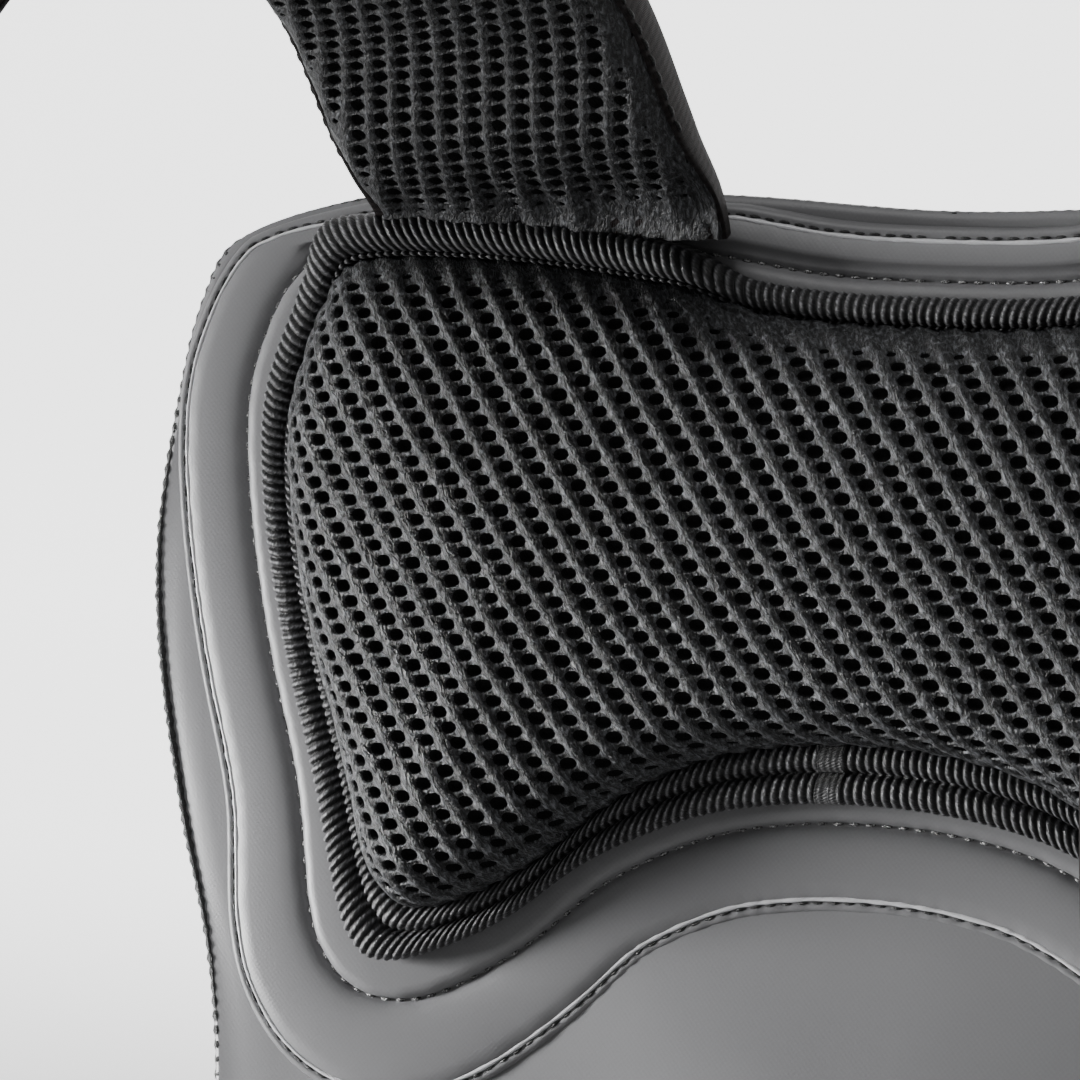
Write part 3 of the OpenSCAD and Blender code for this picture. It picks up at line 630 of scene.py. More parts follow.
def brushed(name, color):
    """Brushed metal."""
    m, t, s, at = material(name)
    lined = add(t, "ShaderNodeVectorMath", {0: at, 1: (1.0, 0.05, 1.0)}, operation="MULTIPLY")
    spot = use(t, mottle_group(), {"Vector": lined.outputs[0], "Patch": 90.0, "Grain": 3500.0})
    fill(t, s, {"Base Color": tone(t, spot["Grain"], scaled(color, 0.8), color),
                "Metallic": 1.0,
                "Roughness": maths(t, "MULTIPLY_ADD", spot["Grain"], 0.2, 0.25),
                "Normal": bump(t, spot["Grain"], 0.00003, 0.5)})
    return m


def thread(name, dark, light, rough=0.45):
    """Sewing thread; a smooth one also shines more."""
    m, t, s, at = material(name)
    strand = use(t, yarn_group(), {"Vector": at, "Strands": 3200.0, "Lean": 0.3})
    fill(t, s, {"Base Color": tone(t, strand["Light"], dark, light), "Roughness": rough,
                "Specular IOR Level": 1.0 if rough < 0.3 else 0.5,
                "Normal": bump(t, strand["Height"], 0.0001)})
    return m


FINISH = {}


def finish(kind):
    """The finish of that name, made the first time it is asked for."""
    if kind not in FINISH:
        c = bpy.context.scene.protector_colours
        coat, web, mesh, plates = (tuple(k) for k in (c.coating, c.webbing, c.mesh, c.plates))
        makers = {
            "coated": lambda: coated_fabric("coated_fabric", coat),
            # The bead is coloured far lighter than the coating: a painted highlight along the
            # band's welded edge
            "bead": lambda: coated_fabric("painted_highlight_bead", scaled(coat, 3.6), 0.16),
            "coated_lip": lambda: coated_fabric("coated_fabric_lip", scaled(coat, 1.05), 0.4),
            # The air mesh's bright strands, far lighter than its colour, are painted highlights
            "knit": lambda: knitted("air_mesh_face_painted_glints", scaled(mesh, 0.1), scaled(mesh, 7.0), -0.55),
            "knit_strap": lambda: knitted("air_mesh_strap_painted_glints", scaled(mesh, 0.08),
                                          scaled(mesh, 5.0), 0.3),
            "pit": lambda: dark_backing("air_mesh_inside", scaled(mesh, 0.15)),
            # The tape's light tone falls on its rib crests: a painted highlight
            "tape": lambda: ribbed_tape("ribbed_tape", scaled(web, 0.15), scaled(web, 12.0)),
            "webbing": lambda: woven("nylon_webbing", scaled(web, 0.35), scaled(web, 2.4)),
            "twill": lambda: woven("strap_twill", (0.004, 0.003, 0.003),
                                   (0.034, 0.024, 0.023), 0.0014, 0.15),
            "edge": lambda: thread("edge_thread", (0.004,) * 3, (0.05,) * 3),
            "stitch": lambda: thread("seam_thread", (0.02,) * 3, (0.8,) * 3, 0.16),
            "stitch_dark": lambda: thread("seam_thread_dark", (0.006,) * 3, (0.06,) * 3),
            "plate": lambda: moulded("plate_plastic", plates, 0.42, 1400.0),
            "buckle": lambda: moulded("buckle_plastic", scaled(plates, 0.55), 0.36, 2200.0),
            "rivet": lambda: brushed("rivet_metal", (0.45, 0.45, 0.46)),
            "floor": lambda: plain_floor("pale_floor", (0.86,) * 3),
        }
        FINISH[kind] = makers[kind]()
    return FINISH[kind]


# ---- Back panel --------------------------------------------------------------

CENTRE = np.array([0.0, 130.0])
COVER_MIDDLE = np.array([0, (TOP - TAIL) / 2])
FRONT = np.array([0.0, -1.0, 0.0])
# Rings of the panel's face, as shares of its outline, and the cover's seam allowance and wall
PANEL_SHARES = [.02, .08, .16, .24, .32, .4, .48, .56, .64, .72, .78, .84, .88, .92, .95, .97,
                .985, .994, 1.0]
ALLOWANCE = [(0.3, 2.0), (0.75, 2.05), (0.93, 2.2), (1.0, 3.4)]
COVER_WALL = [(.2, 7), (.6, 10), (1.6, 12.6), (3.2, 14.2), (6, 14.9), (12, 15.0)]
LOOP_PITCH = 2.3


def base_ring(count=720):
    p = base_points()
    return closed_at(p, even_parameters(p, count))


def lower_swell(xz):
    """Swell of the panel between the two cushions, highest along the spine."""
    x, z = np.abs(xz[..., 0]), xz[..., 1]
    return 5.5 * smooth(z, 50, 110) * smooth(290 - z, 0, 60) * smooth(100 - x, 0, 95)


def ripple(xz, size=0.35):
    """Slight unevenness of coated cloth over foam."""
    x, z = xz[..., 0], xz[..., 1]
    return size * (np.sin(x * 0.047 + 1.3 * np.sin(z * 0.031)) * np.sin(z * 0.053 + 0.6)
                   + 0.5 * np.sin(x * 0.11 + z * 0.09 + 1.0))


def build_panel():
    """Coated face of the panel, stretched over foam, and its thin back."""
    ring = base_ring()
    rows = []
    for s in PANEL_SHARES:
        xz = CENTRE + (ring - CENTRE) * s
        inset = (1 - s) * np.linalg.norm(ring - CENTRE, axis=1)
        off = smooth(inset, 1, 14) * (0.5 + ripple(xz)) + lower_swell(xz)
        off = off + 0.35 * np.sin(np.arange(len(ring)) * 0.09) * smooth(inset, 9, 0)
        rows.append(on_panel(xz, off))
    rows.append(on_panel(ring, -SKIN * 0.5))
    for s in (0.994, 0.9, 0.02):
        rows.append(on_panel(CENTRE + (ring - CENTRE) * s, -SKIN))
    skin("panel_face", rows, "coated", ["base_panel"])


def foam_ring(ring, grow):
    """The foam's outline, drawn in from the panel's towards its middle, then moved out."""
    share = np.array([1 - SEAM / HALF_W, 1 - 2 * SEAM / (TOP + TAIL)])
    return outset((ring - COVER_MIDDLE) * share + COVER_MIDDLE, grow, grow)


def build_cover():
    """Outer cover: a flat seam allowance, then a rounded wall over the foam."""
    ring = base_ring()
    foam = foam_ring(ring, SKIN)
    rows = [on_panel(ring, -SKIN), on_panel(ring, -2 * SKIN)]
    rows += [on_panel(ring + (foam - ring) * k, -h) for k, h in ALLOWANCE]
    inward = COVER_MIDDLE - foam
    inward /= np.linalg.norm(inward, axis=1)[:, None]
    rows += [on_panel(foam + inward * d, -h) for d, h in COVER_WALL]
    for s in (0.8, 0.6, 0.4, 0.2, 0.04):
        xz = COVER_MIDDLE + (foam - COVER_MIDDLE) * s
        rows.append(on_panel(xz, -COVER_BACK - 0.25 - ripple(xz, 0.25)))
    skin("cover_shell", rows, "coated",
         ["outer_cover", "comfort_foam", "impact_foam"], (False, True))
    seam = foam_ring(ring, SKIN + 3.5)
    path = on_panel(np.vstack([seam, seam[:1]]), -2 * SKIN - 0.1)
    sew("cover_seam_thread", path, -FRONT, (3.6, 2.9, 0.34, 0.12))


def build_edge():
    """Overlocked raw edge: a run of thread loops that wrap the two layers."""
    ring = base_ring(2400)
    s = arc_lengths(ring, True)[:-1]
    wave = 0.5 + 0.5 * np.sin(s * 2 * np.pi / LOOP_PITCH)
    wild = 0.5 + 0.5 * np.sin(s * 0.83 + 2.2 * np.sin(s * 0.21))
    moved = outset(ring, 1, 1) - ring
    thin = 1 - 0.72 * smooth(moved[:, 1], 0.6, 0.95)
    rows = []
    for a in np.linspace(0, 2 * np.pi, 10, endpoint=False):
        wide = (0.62 + 0.42 * wave * (0.6 + 0.5 * wild)) * thin
        out = math.cos(a) * wide - 0.15
        off = math.sin(a) * (1.25 + 0.16 * wave) * (0.7 + 0.3 * thin) - 1.0
        rows.append(on_panel(ring + moved * np.asarray(out)[:, None], off))
    rows.append(rows[0])
    skin("edge_loops", rows, "edge", ["edge_overlock"], (False, False),
         uv=loft_uv(rows))


# ---- Cushions ----------------------------------------------------------------

# Spacing of the tape's ribs, and the points that draw each one
RIB, RIB_POINTS = 1.57, 8
# Sections from the outside in: the band's edge, seam and swell, then the rim and its inner lip
BAND_EDGE = [(0.25, -0.4), (0.02, 0.5), (0.0, 1.6), (0.22, 2.55), (0.75, 3.1), (1.35, 3.05),
             (1.8, 2.75), (2.25, 3.1), (3.2, 3.65), (5.0, 3.95)]
RIM_GROOVE = [(5.0, 4.05), (2.6, 3.95), (1.2, 3.7), (0.5, 3.3), (0.12, 2.7), (-0.12, 2.7)]
RIM_LIP = [(0.35, 3.6), (0.8, 4.3), (1.6, 4.75), (2.6, 4.9)]
BEAD_R, BEAD_IN, BEAD_HEIGHT = 0.36, 2.2, 3.05


def pad_ring(pad, count, margin=0.0):
    """Evenly spaced outline of a cushion, and how it moves for each millimetre of margin."""
    u = even_parameters(pad_points(pad, 4.5), count)
    p0 = closed_at(pad_points(pad, 0.0), u)
    step = closed_at(pad_points(pad, 1.0), u) - p0
    return p0 + step * margin, step


def widen(p, side, pad):
    """Outline moved outwards, and further round the two corners beside the cushion's arch."""
    even = outset(p, side, side * TOP_SHARE)
    more = outset(p, side + CORNER_EXTRA, side * TOP_SHARE + CORNER_EXTRA)
    z = pad["top"] - pad["h"] if "top" in pad else pad["low"] + pad["h"]
    gap = np.hypot(np.abs(p[:, 0]) - CORNER_SHARE * pad["w"], p[:, 1] - z)
    return even + (more - even) * np.exp(-(gap / CORNER_REACH) ** 2)[:, None]


def band_rings(pad):
    """Outer edge of the raised band, the rim line on it, the cushion's outline and its step."""
    p0, step = pad_ring(pad, 900)
    rim = widen(p0, RIM, pad)
    band = widen(rim, BAND, pad)
    limit = base_ring()
    band, rim = (held_inside(p, limit, CENTRE, gap) for p, gap in ((band, 1.0), (rim, 4.0)))
    return band, rim, p0, step


def build_band(name, pad, nodes):
    """Raised coated band: rounded outer edge, swell, sewn groove, then the rim under the tape."""
    band, rim, pad0, step = band_rings(pad)
    width = np.linalg.norm(band - rim, axis=1)[:, None]
    i = np.arange(len(band))
    pucker = 0.07 * np.sin(i * 0.9 + 2 * np.sin(i * 0.13))
    rows = [on_panel(band + (rim - band) * np.minimum(d / width, 0.8),
                     h + (pucker if 0.7 < d < 3 else 0)) for d, h in BAND_EDGE]
    rows += [on_panel(rim + (band - rim) * np.clip(d / width, -1, 0.3),
                      h + (pucker if d < 1 else 0)) for d, h in RIM_GROOVE]
    towards = (pad0 - rim) / np.linalg.norm(pad0 - rim, axis=1)[:, None]
    rows += [on_panel(rim + towards * d, h + (pucker if d < 1 else 0)) for d, h in RIM_LIP]
    rows += [on_panel(pad0 + step * d, h) for d, h in [(1.0, 4.9), (6.0, 4.7), (6.0, -0.3)]]
    skin(name, rows + [rows[0]], "coated", nodes, (False, False))
    # Thin ridge along the band's edge; its light colour is a painted highlight
    bead = band + (rim - band) * np.minimum(BEAD_IN / width, 0.8)
    rows = []
    for a in np.linspace(0, 2 * np.pi, 9)[:-1]:
        r = BEAD_R + 0.06 * np.sin(i * 0.7 + 2.5 * np.sin(i * 0.17))
        out = (band - rim) / width * (r * math.cos(a))[:, None]
        rows.append(on_panel(bead + out, BEAD_HEIGHT + r * math.sin(a)))
    skin(f"{name}_bead", rows + [rows[0]], "bead", (), (False, False))
    outer = band + (rim - band) * np.minimum(1.55 / width, 0.8)
    for label, line, height, sizes, kind in (
            ("rim", rim, 2.8, (2.7, 1.7, 0.3, 0.12), "stitch"),
            ("outer", outer, 2.75, (2.6, 2.0, 0.26, 0.12), "stitch_dark")):
        path = on_panel(np.vstack([line, line[:1]]), height + 0.1)
        sew(f"{name}_{label}_stitches", path, FRONT, sizes, kind)


# Section of the tape: distance in, height and depth of its ribs
BINDING = [
    (0.7, -0.05, 0), (-0.15, 0.7, .16), (-0.4, 1.9, .32), (-0.05, 3.1, .36), (0.8, 4.1, .38),
    (2.0, 4.55, .38), (3.2, 4.3, .34), (4.0, 3.3, .2), (4.35, 2.4, .05), (4.75, 3.3, .18),
    (5.4, 4.7, .3), (6.4, 5.55, .36), (7.5, 5.6, .36), (8.5, 4.9, .3), (9.1, 3.6, .18),
    (9.4, 2.0, 0), (9.4, -0.05, 0)]
# Where the section folds, and how far the tape rides up over a strap's foot
TAPE_FOLD, STRAP_LIFT = 4.35, 4.0


def tape_seat(p, pad):
    """How the tape lies round a cushion: the share of its inner fold that shows, how far it is
    drawn in along the sides, and where it rides up over a strap's foot."""
    t = np.roll(p, -1, 0) - np.roll(p, 1, 0)
    t /= np.linalg.norm(t, axis=1)[:, None]
    up = t[:, 0] * (1 if "top" in pad else -1)
    show = np.clip(0.45 - 0.62 * up, 0.1, 1.0)
    drawn = 1.5 * t[:, 1] ** 2
    x = np.abs(p[:, 0])
    strap = smooth(x, 28, 42) * smooth(113 - x, 0, 14) * smooth(up, 0.2, 0.8)
    return show, drawn, strap * (1 if "top" in pad else 0)


def tape_margin(m, seat):
    """Distance in from the cushion's outline for a distance over the tape's section."""
    show, drawn, strap = seat
    fold = TAPE_FOLD + (m - TAPE_FOLD) * show
    return np.where(m > TAPE_FOLD, fold, m) * (1 + 0.2 * strap) + drawn - STRAP_LIFT * strap


def binding_rows(pad, swell=0.0, ribs=1):
    """Rows of the tape's section along a cushion's outline; ribs run across the tape."""
    length = arc_lengths(pad_ring(pad, 400)[0], True)[-1]
    p0, step = pad_ring(pad, int(round(length / RIB)) * RIB_POINTS)
    seat = tape_seat(p0, pad)
    show, _, strap = seat
    i = np.arange(len(p0))
    phase = 2 * np.pi * i / RIB_POINTS
    sag = 1 + 0.05 * np.sin(i * 0.021) + 0.04 * np.sin(i * 0.0073 + 2)
    rows, uv = [], []
    section = np.array([(m, h) for m, h, _ in BINDING])
    along = np.gradient(section, axis=0)
    normal = np.stack([-along[:, 1], along[:, 0]], -1)
    normal /= np.linalg.norm(normal, axis=1)[:, None]
    run = arc_lengths(section, False)
    for k, (m, h, depth) in enumerate(BINDING):
        lean = phase + 0.35 * math.sin(run[k] * 0.55) + (0.9 if m > 4.3 else 0.0)
        rib = (np.abs(np.cos(lean / 2)) ** 0.7 * 2 - 1) * depth * ribs
        mm = tape_margin(m, seat) + normal[k, 0] * (rib + swell)
        low = 0.5 + 0.5 * show if m > TAPE_FOLD else 1.0
        hh = (h * low + normal[k, 1] * (rib + swell)) * sag + 4.2 * strap * (h > 1)
        rows.append(on_panel(p0 + step * np.asarray(mm)[:, None], SEAT + hh))
        uv.append(np.stack([lean / (2 * np.pi) * RIB, np.full(len(i), run[k])], -1))
    return rows, np.array(uv).reshape(-1, 2)


def build_binding(name, pad, nodes, lap_at=None):
    """Ribbed tape round a cushion; its two ends lap at a place across and up the panel."""
    rows, uv = binding_rows(pad)
    skin(name, rows + [rows[0]], "tape", nodes, (False, False),
         uv=np.vstack([uv, uv[:len(rows[0])]]))
    if lap_at is None:
        return
    rows = np.array(binding_rows(pad, 0.35, 0)[0])
    near = np.argmin(np.abs(rows[5][:, 0] - lap_at[0]) + 2 * np.abs(rows[5][:, 2] - lap_at[1]))
    part = np.swapaxes(rows[:, np.arange(near - 11, near + 12) % rows.shape[1]], 0, 1)
    skin(f"{name}_lap", part, "webbing", uv=loft_uv(part, 2))


def side_curve(depth, height):
    """Rounded side of a cushion: distance in, height and normal against length over the cloth."""
    last = math.radians(80)
    a = np.linspace(0, last, 60)
    d = depth * (1 - np.cos(a)) / (1 - math.cos(last))
    h = height * np.sin(a) / math.sin(last)
    s = arc_lengths(np.stack([d, h], -1), False)
    n = np.stack([-np.gradient(h, s), np.gradient(d, s)], -1)
    return s, d, h, n / np.linalg.norm(n, axis=1)[:, None]


CELL_ROW, CELL_SHIFT, CELL_HOLE = 2.25, 1.85, (1.36, 0.97)
# Depth of a cushion's rounded side, rise of its crown and of its foot in the tape
SIDE_DEPTH, DOME, FOOT = 9.5, 3.2, 2.2


def build_cushion(name, pad, nodes):
    """Air-mesh face, pulled down into the tape all round and crowned over the foam."""
    pitch = round(bpy.context.scene.protector_sizes.cell / MM, 3)
    ring, step = pad_ring(pad, 420)
    line = ring + step * tape_margin(8.8, tape_seat(ring, pad))[:, None]
    s, d, h, n = side_curve(SIDE_DEPTH, pad["crown"] - DOME - FOOT - 0.4)
    extra = s[-1] - SIDE_DEPTH
    cloth = outset(line, extra, extra)
    lo, hi = cloth.min(0), cloth.max(0)
    origin = np.array([(lo[0] + hi[0]) / 2, hi[1] + 3])
    turn = resample(cloth, len(cloth))
    span = int((hi[1] - lo[1] + 8) / CELL_ROW)
    wide = int((hi[0] - lo[0]) / pitch / 2) + 3
    memo = {}

    def at(plane):
        key = len(plane)
        if key not in memo:
            memo[key] = nearest(plane + origin, turn)
        return memo[key]

    def keep(centre):
        return nearest(centre + origin, turn)[0] > -2.6

    def openness(centre):
        inside, _, way = nearest(centre + origin, turn)
        start = 3.4 + 2.8 * smooth(-way[:, 1] * (1 if "top" in pad else -1), 0.3, 0.9)
        return smooth(inside, start, start + 5.5)

    def place(plane, height):
        inside, foot, way = at(plane)
        clamped = np.clip(inside, 0, s[-1])
        dd = np.interp(clamped, s, d) + np.where(inside < 0, inside * 0.3, 0)
        hh = np.interp(clamped, s, h) + np.where(inside < 0, inside * 0.8, 0)
        nd = np.interp(clamped, s, n[:, 0])
        nh = np.interp(clamped, s, n[:, 1])
        over = np.clip((inside - s[-1]) / 34, 0, 1)
        hh = hh + DOME * (1 - (1 - over) ** 2)
        angle = np.arctan2(foot[:, 1], foot[:, 0] * 0.6)
        wrinkle = 0.34 * np.sin(angle * 55 + 2 * np.sin(angle * 9))
        wrinkle = wrinkle * np.exp(-((inside - 5) / 4.5) ** 2)
        hh = hh + FOOT + np.clip(wrinkle, -0.3, 0.3)
        flat = plane + origin
        seat = foot + way * extra
        xz = np.where((inside > s[-1])[:, None], flat, seat + way * dd[:, None])
        xz = xz + way * (nd * height)[:, None]
        return on_panel(xz, SEAT + np.clip(hh + nh * height, -0.2, None))

    columns = (-wide - int(span * CELL_SHIFT / pitch) - 1, wide + 1)
    knit(name, "knit", nodes,
         (columns, (0, span), pitch, CELL_ROW, CELL_SHIFT, CELL_HOLE, keep, openness, place))


# ---- Plates ------------------------------------------------------------------

PLATE_H, PLATE_LAP, PLATES_TOP, PLATE_W, PLATE_T = 88.0, 14.0, 329.0, 168.0, 3.0
PLATE_TAPER = [(0.8, 0.94), (0.94, 1), (0.98, 0.9), (0.88, 0.78), (0.78, 0.6)]
PLATE_LIFT = (PLATE_T + 0.3) / (1 - PLATE_LAP / PLATE_H)
PLATE_NAMES = ["neck", "upper", "middle", "lower", "lumbar"]
SPINE_RISE = 4.2
# Rings of a plate's face, then the share and height of its rolled edge, then its back
PLATE_SHARES = [.03, .12, .2, .28, .36, .42, .46, .5, .54, .58, .62, .66, .7, .76, .82, .87,
                .91, .94, .965, .985]
PLATE_EDGE = [(0.996, 2.6), (1.0, 1.9), (1.0, 0.9), (0.995, 0.3), (0.985, 0.05)]


def build_plate(i, name):
    """Moulded plate: a raised spine, a stepped middle and a rolled lower lip."""
    top = PLATES_TOP - i * (PLATE_H - PLATE_LAP)
    low = top - PLATE_H
    a, b = (PLATE_W / 2 * k for k in PLATE_TAPER[i])
    half = [(0, top), (.6 * a, top), (.88 * a, top - 4), (a, top - 14),
            ((a + b) / 2, top - PLATE_H / 2), (b, low + 22), (.86 * b, low + 9),
            (.5 * b, low + 4), (0, low)]
    points = both_halves(half)
    ring = closed_at(points, even_parameters(points, 420))
    middle = np.array([0, (top + low) / 2])
    inner = (ring - middle) * [0.62, 0.5] + middle + [0, -3]

    def seat(x, z):
        lift = PLATE_LIFT * (top + 1 - z) / (PLATE_H + 2)
        return lift, SPINE_RISE * smooth(60 - np.abs(x), 0, 46)

    rows = []
    for s in PLATE_SHARES:
        xz = middle + (ring - middle) * s
        lift, spine = seat(*xz.T)
        step = nearest(xz, inner)[0]
        raised = 1.3 * smooth(step, -1.6, 1.6) - 0.9 * smooth(step, 9, 13)
        groove = -0.5 * np.exp(-((step + 6) / 1.1) ** 2)
        lip = 0.55 * smooth(s, .93, .955) * (1 - smooth(s, .96, .985))
        rows.append(on_panel(xz, -(COVER_BACK + PLATE_T + lift + spine + raised + groove + lip)))
    edge_seat = sum(seat(*ring.T))
    for share, height in PLATE_EDGE:
        rows.append(on_panel(middle + (ring - middle) * share,
                             -(COVER_BACK + edge_seat + height)))
    for s in (.8, .6, .4, .2, .03):
        xz = middle + (ring - middle) * s
        rows.append(on_panel(xz, -(COVER_BACK + sum(seat(*xz.T)))))
    skin(f"plate_{name}_shell", rows, "plate", [f"plate_{name}"])


# ---- Shoulder straps ---------------------------------------------------------

STRAP_W, STRAP_END_W, STRAP_X, STRAP_T = 60.4, 52.0, 64.0, 13.5
STRAP_RISE, STRAP_REACH = 68.0, 176.0
WEB_W, WEB_T = 25.0, 1.6
# Fullness of a strap's mesh face and back at its foot, and how far the foot lies back
FACE_FOOT, BACK_FOOT, FOOT_BACK = 0.1, 0.8, 2.5
EDGE_R = 4.6
# Half section of a strap's back, from its lip over the mesh to the middle: side, shift, height
STRAP_BACK = [(-1, 2.4, -.1), (-1, 1.0, -.2), (-1, .1, -.265), (-1, -.4, -.25),
              (-1, -.55, -.18), (-1, -.5, -.08), (-1, -.4, 0.04), (-1, 0, .22), (-1, .5, .36),
              (-1, 1.9, .46), (-1, 6, .5), (-.5, 0, .53), (0, 0, .545)]


def strap_points():
    z = PAD["top"] + 1
    y = float(back_y(z)) - SEAT - STRAP_T / 2 - 0.3
    front = float(back_y(TOP)) - STRAP_REACH
    high = TOP + STRAP_RISE - STRAP_T / 2
    x = STRAP_X
    return np.array([
        (x, y, z), (x + .4, y - 2, z + 7), (x + 2, y - 10, z + 20), (x + 5, y - 25, z + 41),
        (x + 11, y - 51, high - 10), (x + 22, y - 86, high), (x + 35, y - 120, high - 8),
        (x + 46, front + 12, high - 33), (x + 50, front, high - 70),
        (x + 47.5, front - 3, high - 108), (x + 48.3, front - 3, high - 146),
        (x + 50.5, front + 5, high - 186), (x + 48, front + 20, high - 216),
        (x + 43, front + 38, high - 236)])


class Strap:
    """Frames along one strap's middle line; side is 1 for +X and -1 for -X."""

    def __init__(self, side):
        self.side = side
        self.line = resample(open_curve(strap_points(), 12), 240, False)
        self.s = arc_lengths(self.line, False)
        tangent = np.gradient(self.line, self.s, axis=0)
        tangent /= np.linalg.norm(tangent, axis=1)[:, None]
        out = np.cross(tangent, [1.0, 0, 0])
        self.out = out / np.linalg.norm(out, axis=1)[:, None]
        self.across = np.cross(self.out, tangent)
        self.length = self.s[-1]

    def at(self, s, a, o):
        """Point at length s, distance a across and o outwards."""
        mix = [np.stack([np.interp(s, self.s, f[:, k]) for k in range(3)], -1)
               for f in (self.line, self.across, self.out)]
        o = np.asarray(o) + FOOT_BACK * (1 - smooth(s, 0, 16))
        a, o = np.asarray(a)[..., None], o[..., None]
        p = mix[0] + mix[1] * a + mix[2] * o
        return p * [self.side, 1, 1]

    def half(self, s):
        return (STRAP_W + (STRAP_END_W - STRAP_W) * s / self.length) / 2


def strap_pinch(s, length, foot):
    """How full the padding is: pressed flat where a strap is sewn in at either end."""
    return (foot + (1 - foot) * smooth(s, 0, 26)) * (0.5 + 0.5 * smooth(length - s, 0, 22))


def build_strap(side, label):
    """One padded strap: its mesh face, its twill back and the seams along both edges."""
    strap = Strap(side)

    def section(q, half):
        """Across and outwards position for a length q over the mesh face from its middle."""
        flat = half - EDGE_R
        turn = np.clip((np.abs(q) - flat) / EDGE_R, 0, 2.1)
        x = np.where(np.abs(q) < flat, np.abs(q), flat + EDGE_R * np.sin(turn))
        o = -STRAP_T / 2 + EDGE_R * (1 - np.cos(turn)) + 0.5 * (x / half) ** 2
        return np.sign(q) * x, o, turn

    def place(plane, height):
        s = np.clip(-plane[:, 1], 0, strap.length)
        half = strap.half(s)
        x, o, turn = section(plane[:, 0] * half / (STRAP_W / 2), half)
        full = strap_pinch(s, strap.length, FACE_FOOT)
        crease = 0.6 * np.sin(plane[:, 0] * 0.55 + np.sin(plane[:, 0] * 0.21) * 2)
        crease = crease * smooth(20 - s, 0, 14)
        height = height * (0.25 + 0.75 * smooth(half - np.abs(x), 0.3, 4))
        lift = height * np.cos(turn) + crease
        return strap.at(s, x + np.sign(x) * height * np.sin(turn) * 0.8, o * full - lift)

    def keep(centre):
        return ((np.abs(centre[:, 0]) < STRAP_W / 2 + 2.6) & (centre[:, 1] < 1.5)
                & (centre[:, 1] > -strap.length - 1.5))

    def openness(centre):
        s = -centre[:, 1]
        return (smooth(STRAP_W / 2 - np.abs(centre[:, 0]), 1.8, 5.5) * smooth(s, 3, 12)
                * smooth(strap.length - s, 8, 18))

    row = 2.75
    knit(f"strap_face_{label}", "knit_strap", [f"strap_mesh_{label}", f"strap_foam_{label}"],
         ((-36, 56), (0, int(strap.length / row) + 2), 4.3, row, -0.95, (1.3, 1.12),
                keep, openness, place, 8))

    shape = STRAP_BACK + [(-a, -b, c) for a, b, c in STRAP_BACK[-2::-1]]
    s = np.linspace(0, strap.length, 260)
    face_full, full = (strap_pinch(s, strap.length, k) for k in (FACE_FOOT, BACK_FOOT))
    ring = []
    for a, b, c in shape:
        lumps = 0.12 * np.sin(s * 0.16 + 3 * a) * (1 if c > 0 else 0)
        ring.append(strap.at(s, a * strap.half(s) + b,
                             c * STRAP_T * (full if c > 0 else face_full) + lumps))
    ring = np.swapaxes(np.array(ring), 0, 1)
    run = np.linspace(0, 1, ring.shape[1]) * 100
    uv = np.stack(np.meshgrid(run, s), -1).reshape(-1, 2)
    skin(f"strap_back_{label}", ring, "twill",
                   [f"strap_cover_{label}"], uv=np.vstack([uv, np.zeros((2, 2))]))
    for edge, place_name in ((-1, "in"), (1, "out")):
        q = edge * (strap.half(s) + 0.6)
        path = strap.at(s, q, -0.2 * STRAP_T * face_full)
        normal = strap.at(s, q + edge, -0.2 * STRAP_T * face_full) - path
        sew(f"strap_seam_{label}_{place_name}", path[12:-8], normal[12:-8],
            (3.1, 2.3, 0.28, 0.1))


# ---- Webbing -----------------------------------------------------------------

# The webbing's rounded section, in shares of its width and thickness
WEB_SECTION = [(-.5, 0), (-.488, .32), (-.46, .5), (-.2, .5), (.2, .5), (.46, .5), (.488, .32),
               (.5, 0), (.488, -.32), (.46, -.5), (.2, -.5), (-.2, -.5), (-.46, -.5),
               (-.488, -.32)]


def ribbon(name, path, wide, width, thick, node, body="protector"):
    """Flat webbing along a path; wide is the direction of its width at each point."""
    path = np.asarray(path, float)
    wide = np.broadcast_to(np.asarray(wide, float), path.shape)
    wide = wide / np.linalg.norm(wide, axis=1)[:, None]
    tangent = np.gradient(path, axis=0)
    tangent /= np.linalg.norm(tangent, axis=1)[:, None]
    normal = np.cross(tangent, wide)
    rows = np.stack([path + wide * a * width + normal * b * thick for a, b in WEB_SECTION], 1)
    across = np.array([a * width for a, _ in WEB_SECTION])
    uv = np.stack(np.meshgrid(across, arc_lengths(path, False)), -1).reshape(-1, 2)
    return skin(name, rows, "webbing", [node], body=body,
                uv=np.vstack([uv, np.zeros((2, 2))]))


def turn_round(centre, radius, start, stop, steps=14):
    """Points on an arc in a plane."""
    a = np.radians(np.linspace(start, stop, steps))
    return np.stack([centre[0] + radius * np.cos(a), centre[1] + radius * np.sin(a)], -1)


BAR_R, FIT = 2.0, 0.3
LOCK_GAP, BAR_STEP, KEEPER_SHARE = 12.0, 11.0, 0.62
# Pitch, length, radius and sink of the stitches that hold webbing
WEB_STITCH = (2.9, 2.2, 0.26, 0.1)
# Section of a patch: share of its outline and height
PATCH = [(.04, 2.0), (.4, 2.0), (.7, 1.95), (.86, 1.9), (.95, 1.6), (.99, 1.0), (1, .4),
         (1, 0.02), (.9, 0.02)]


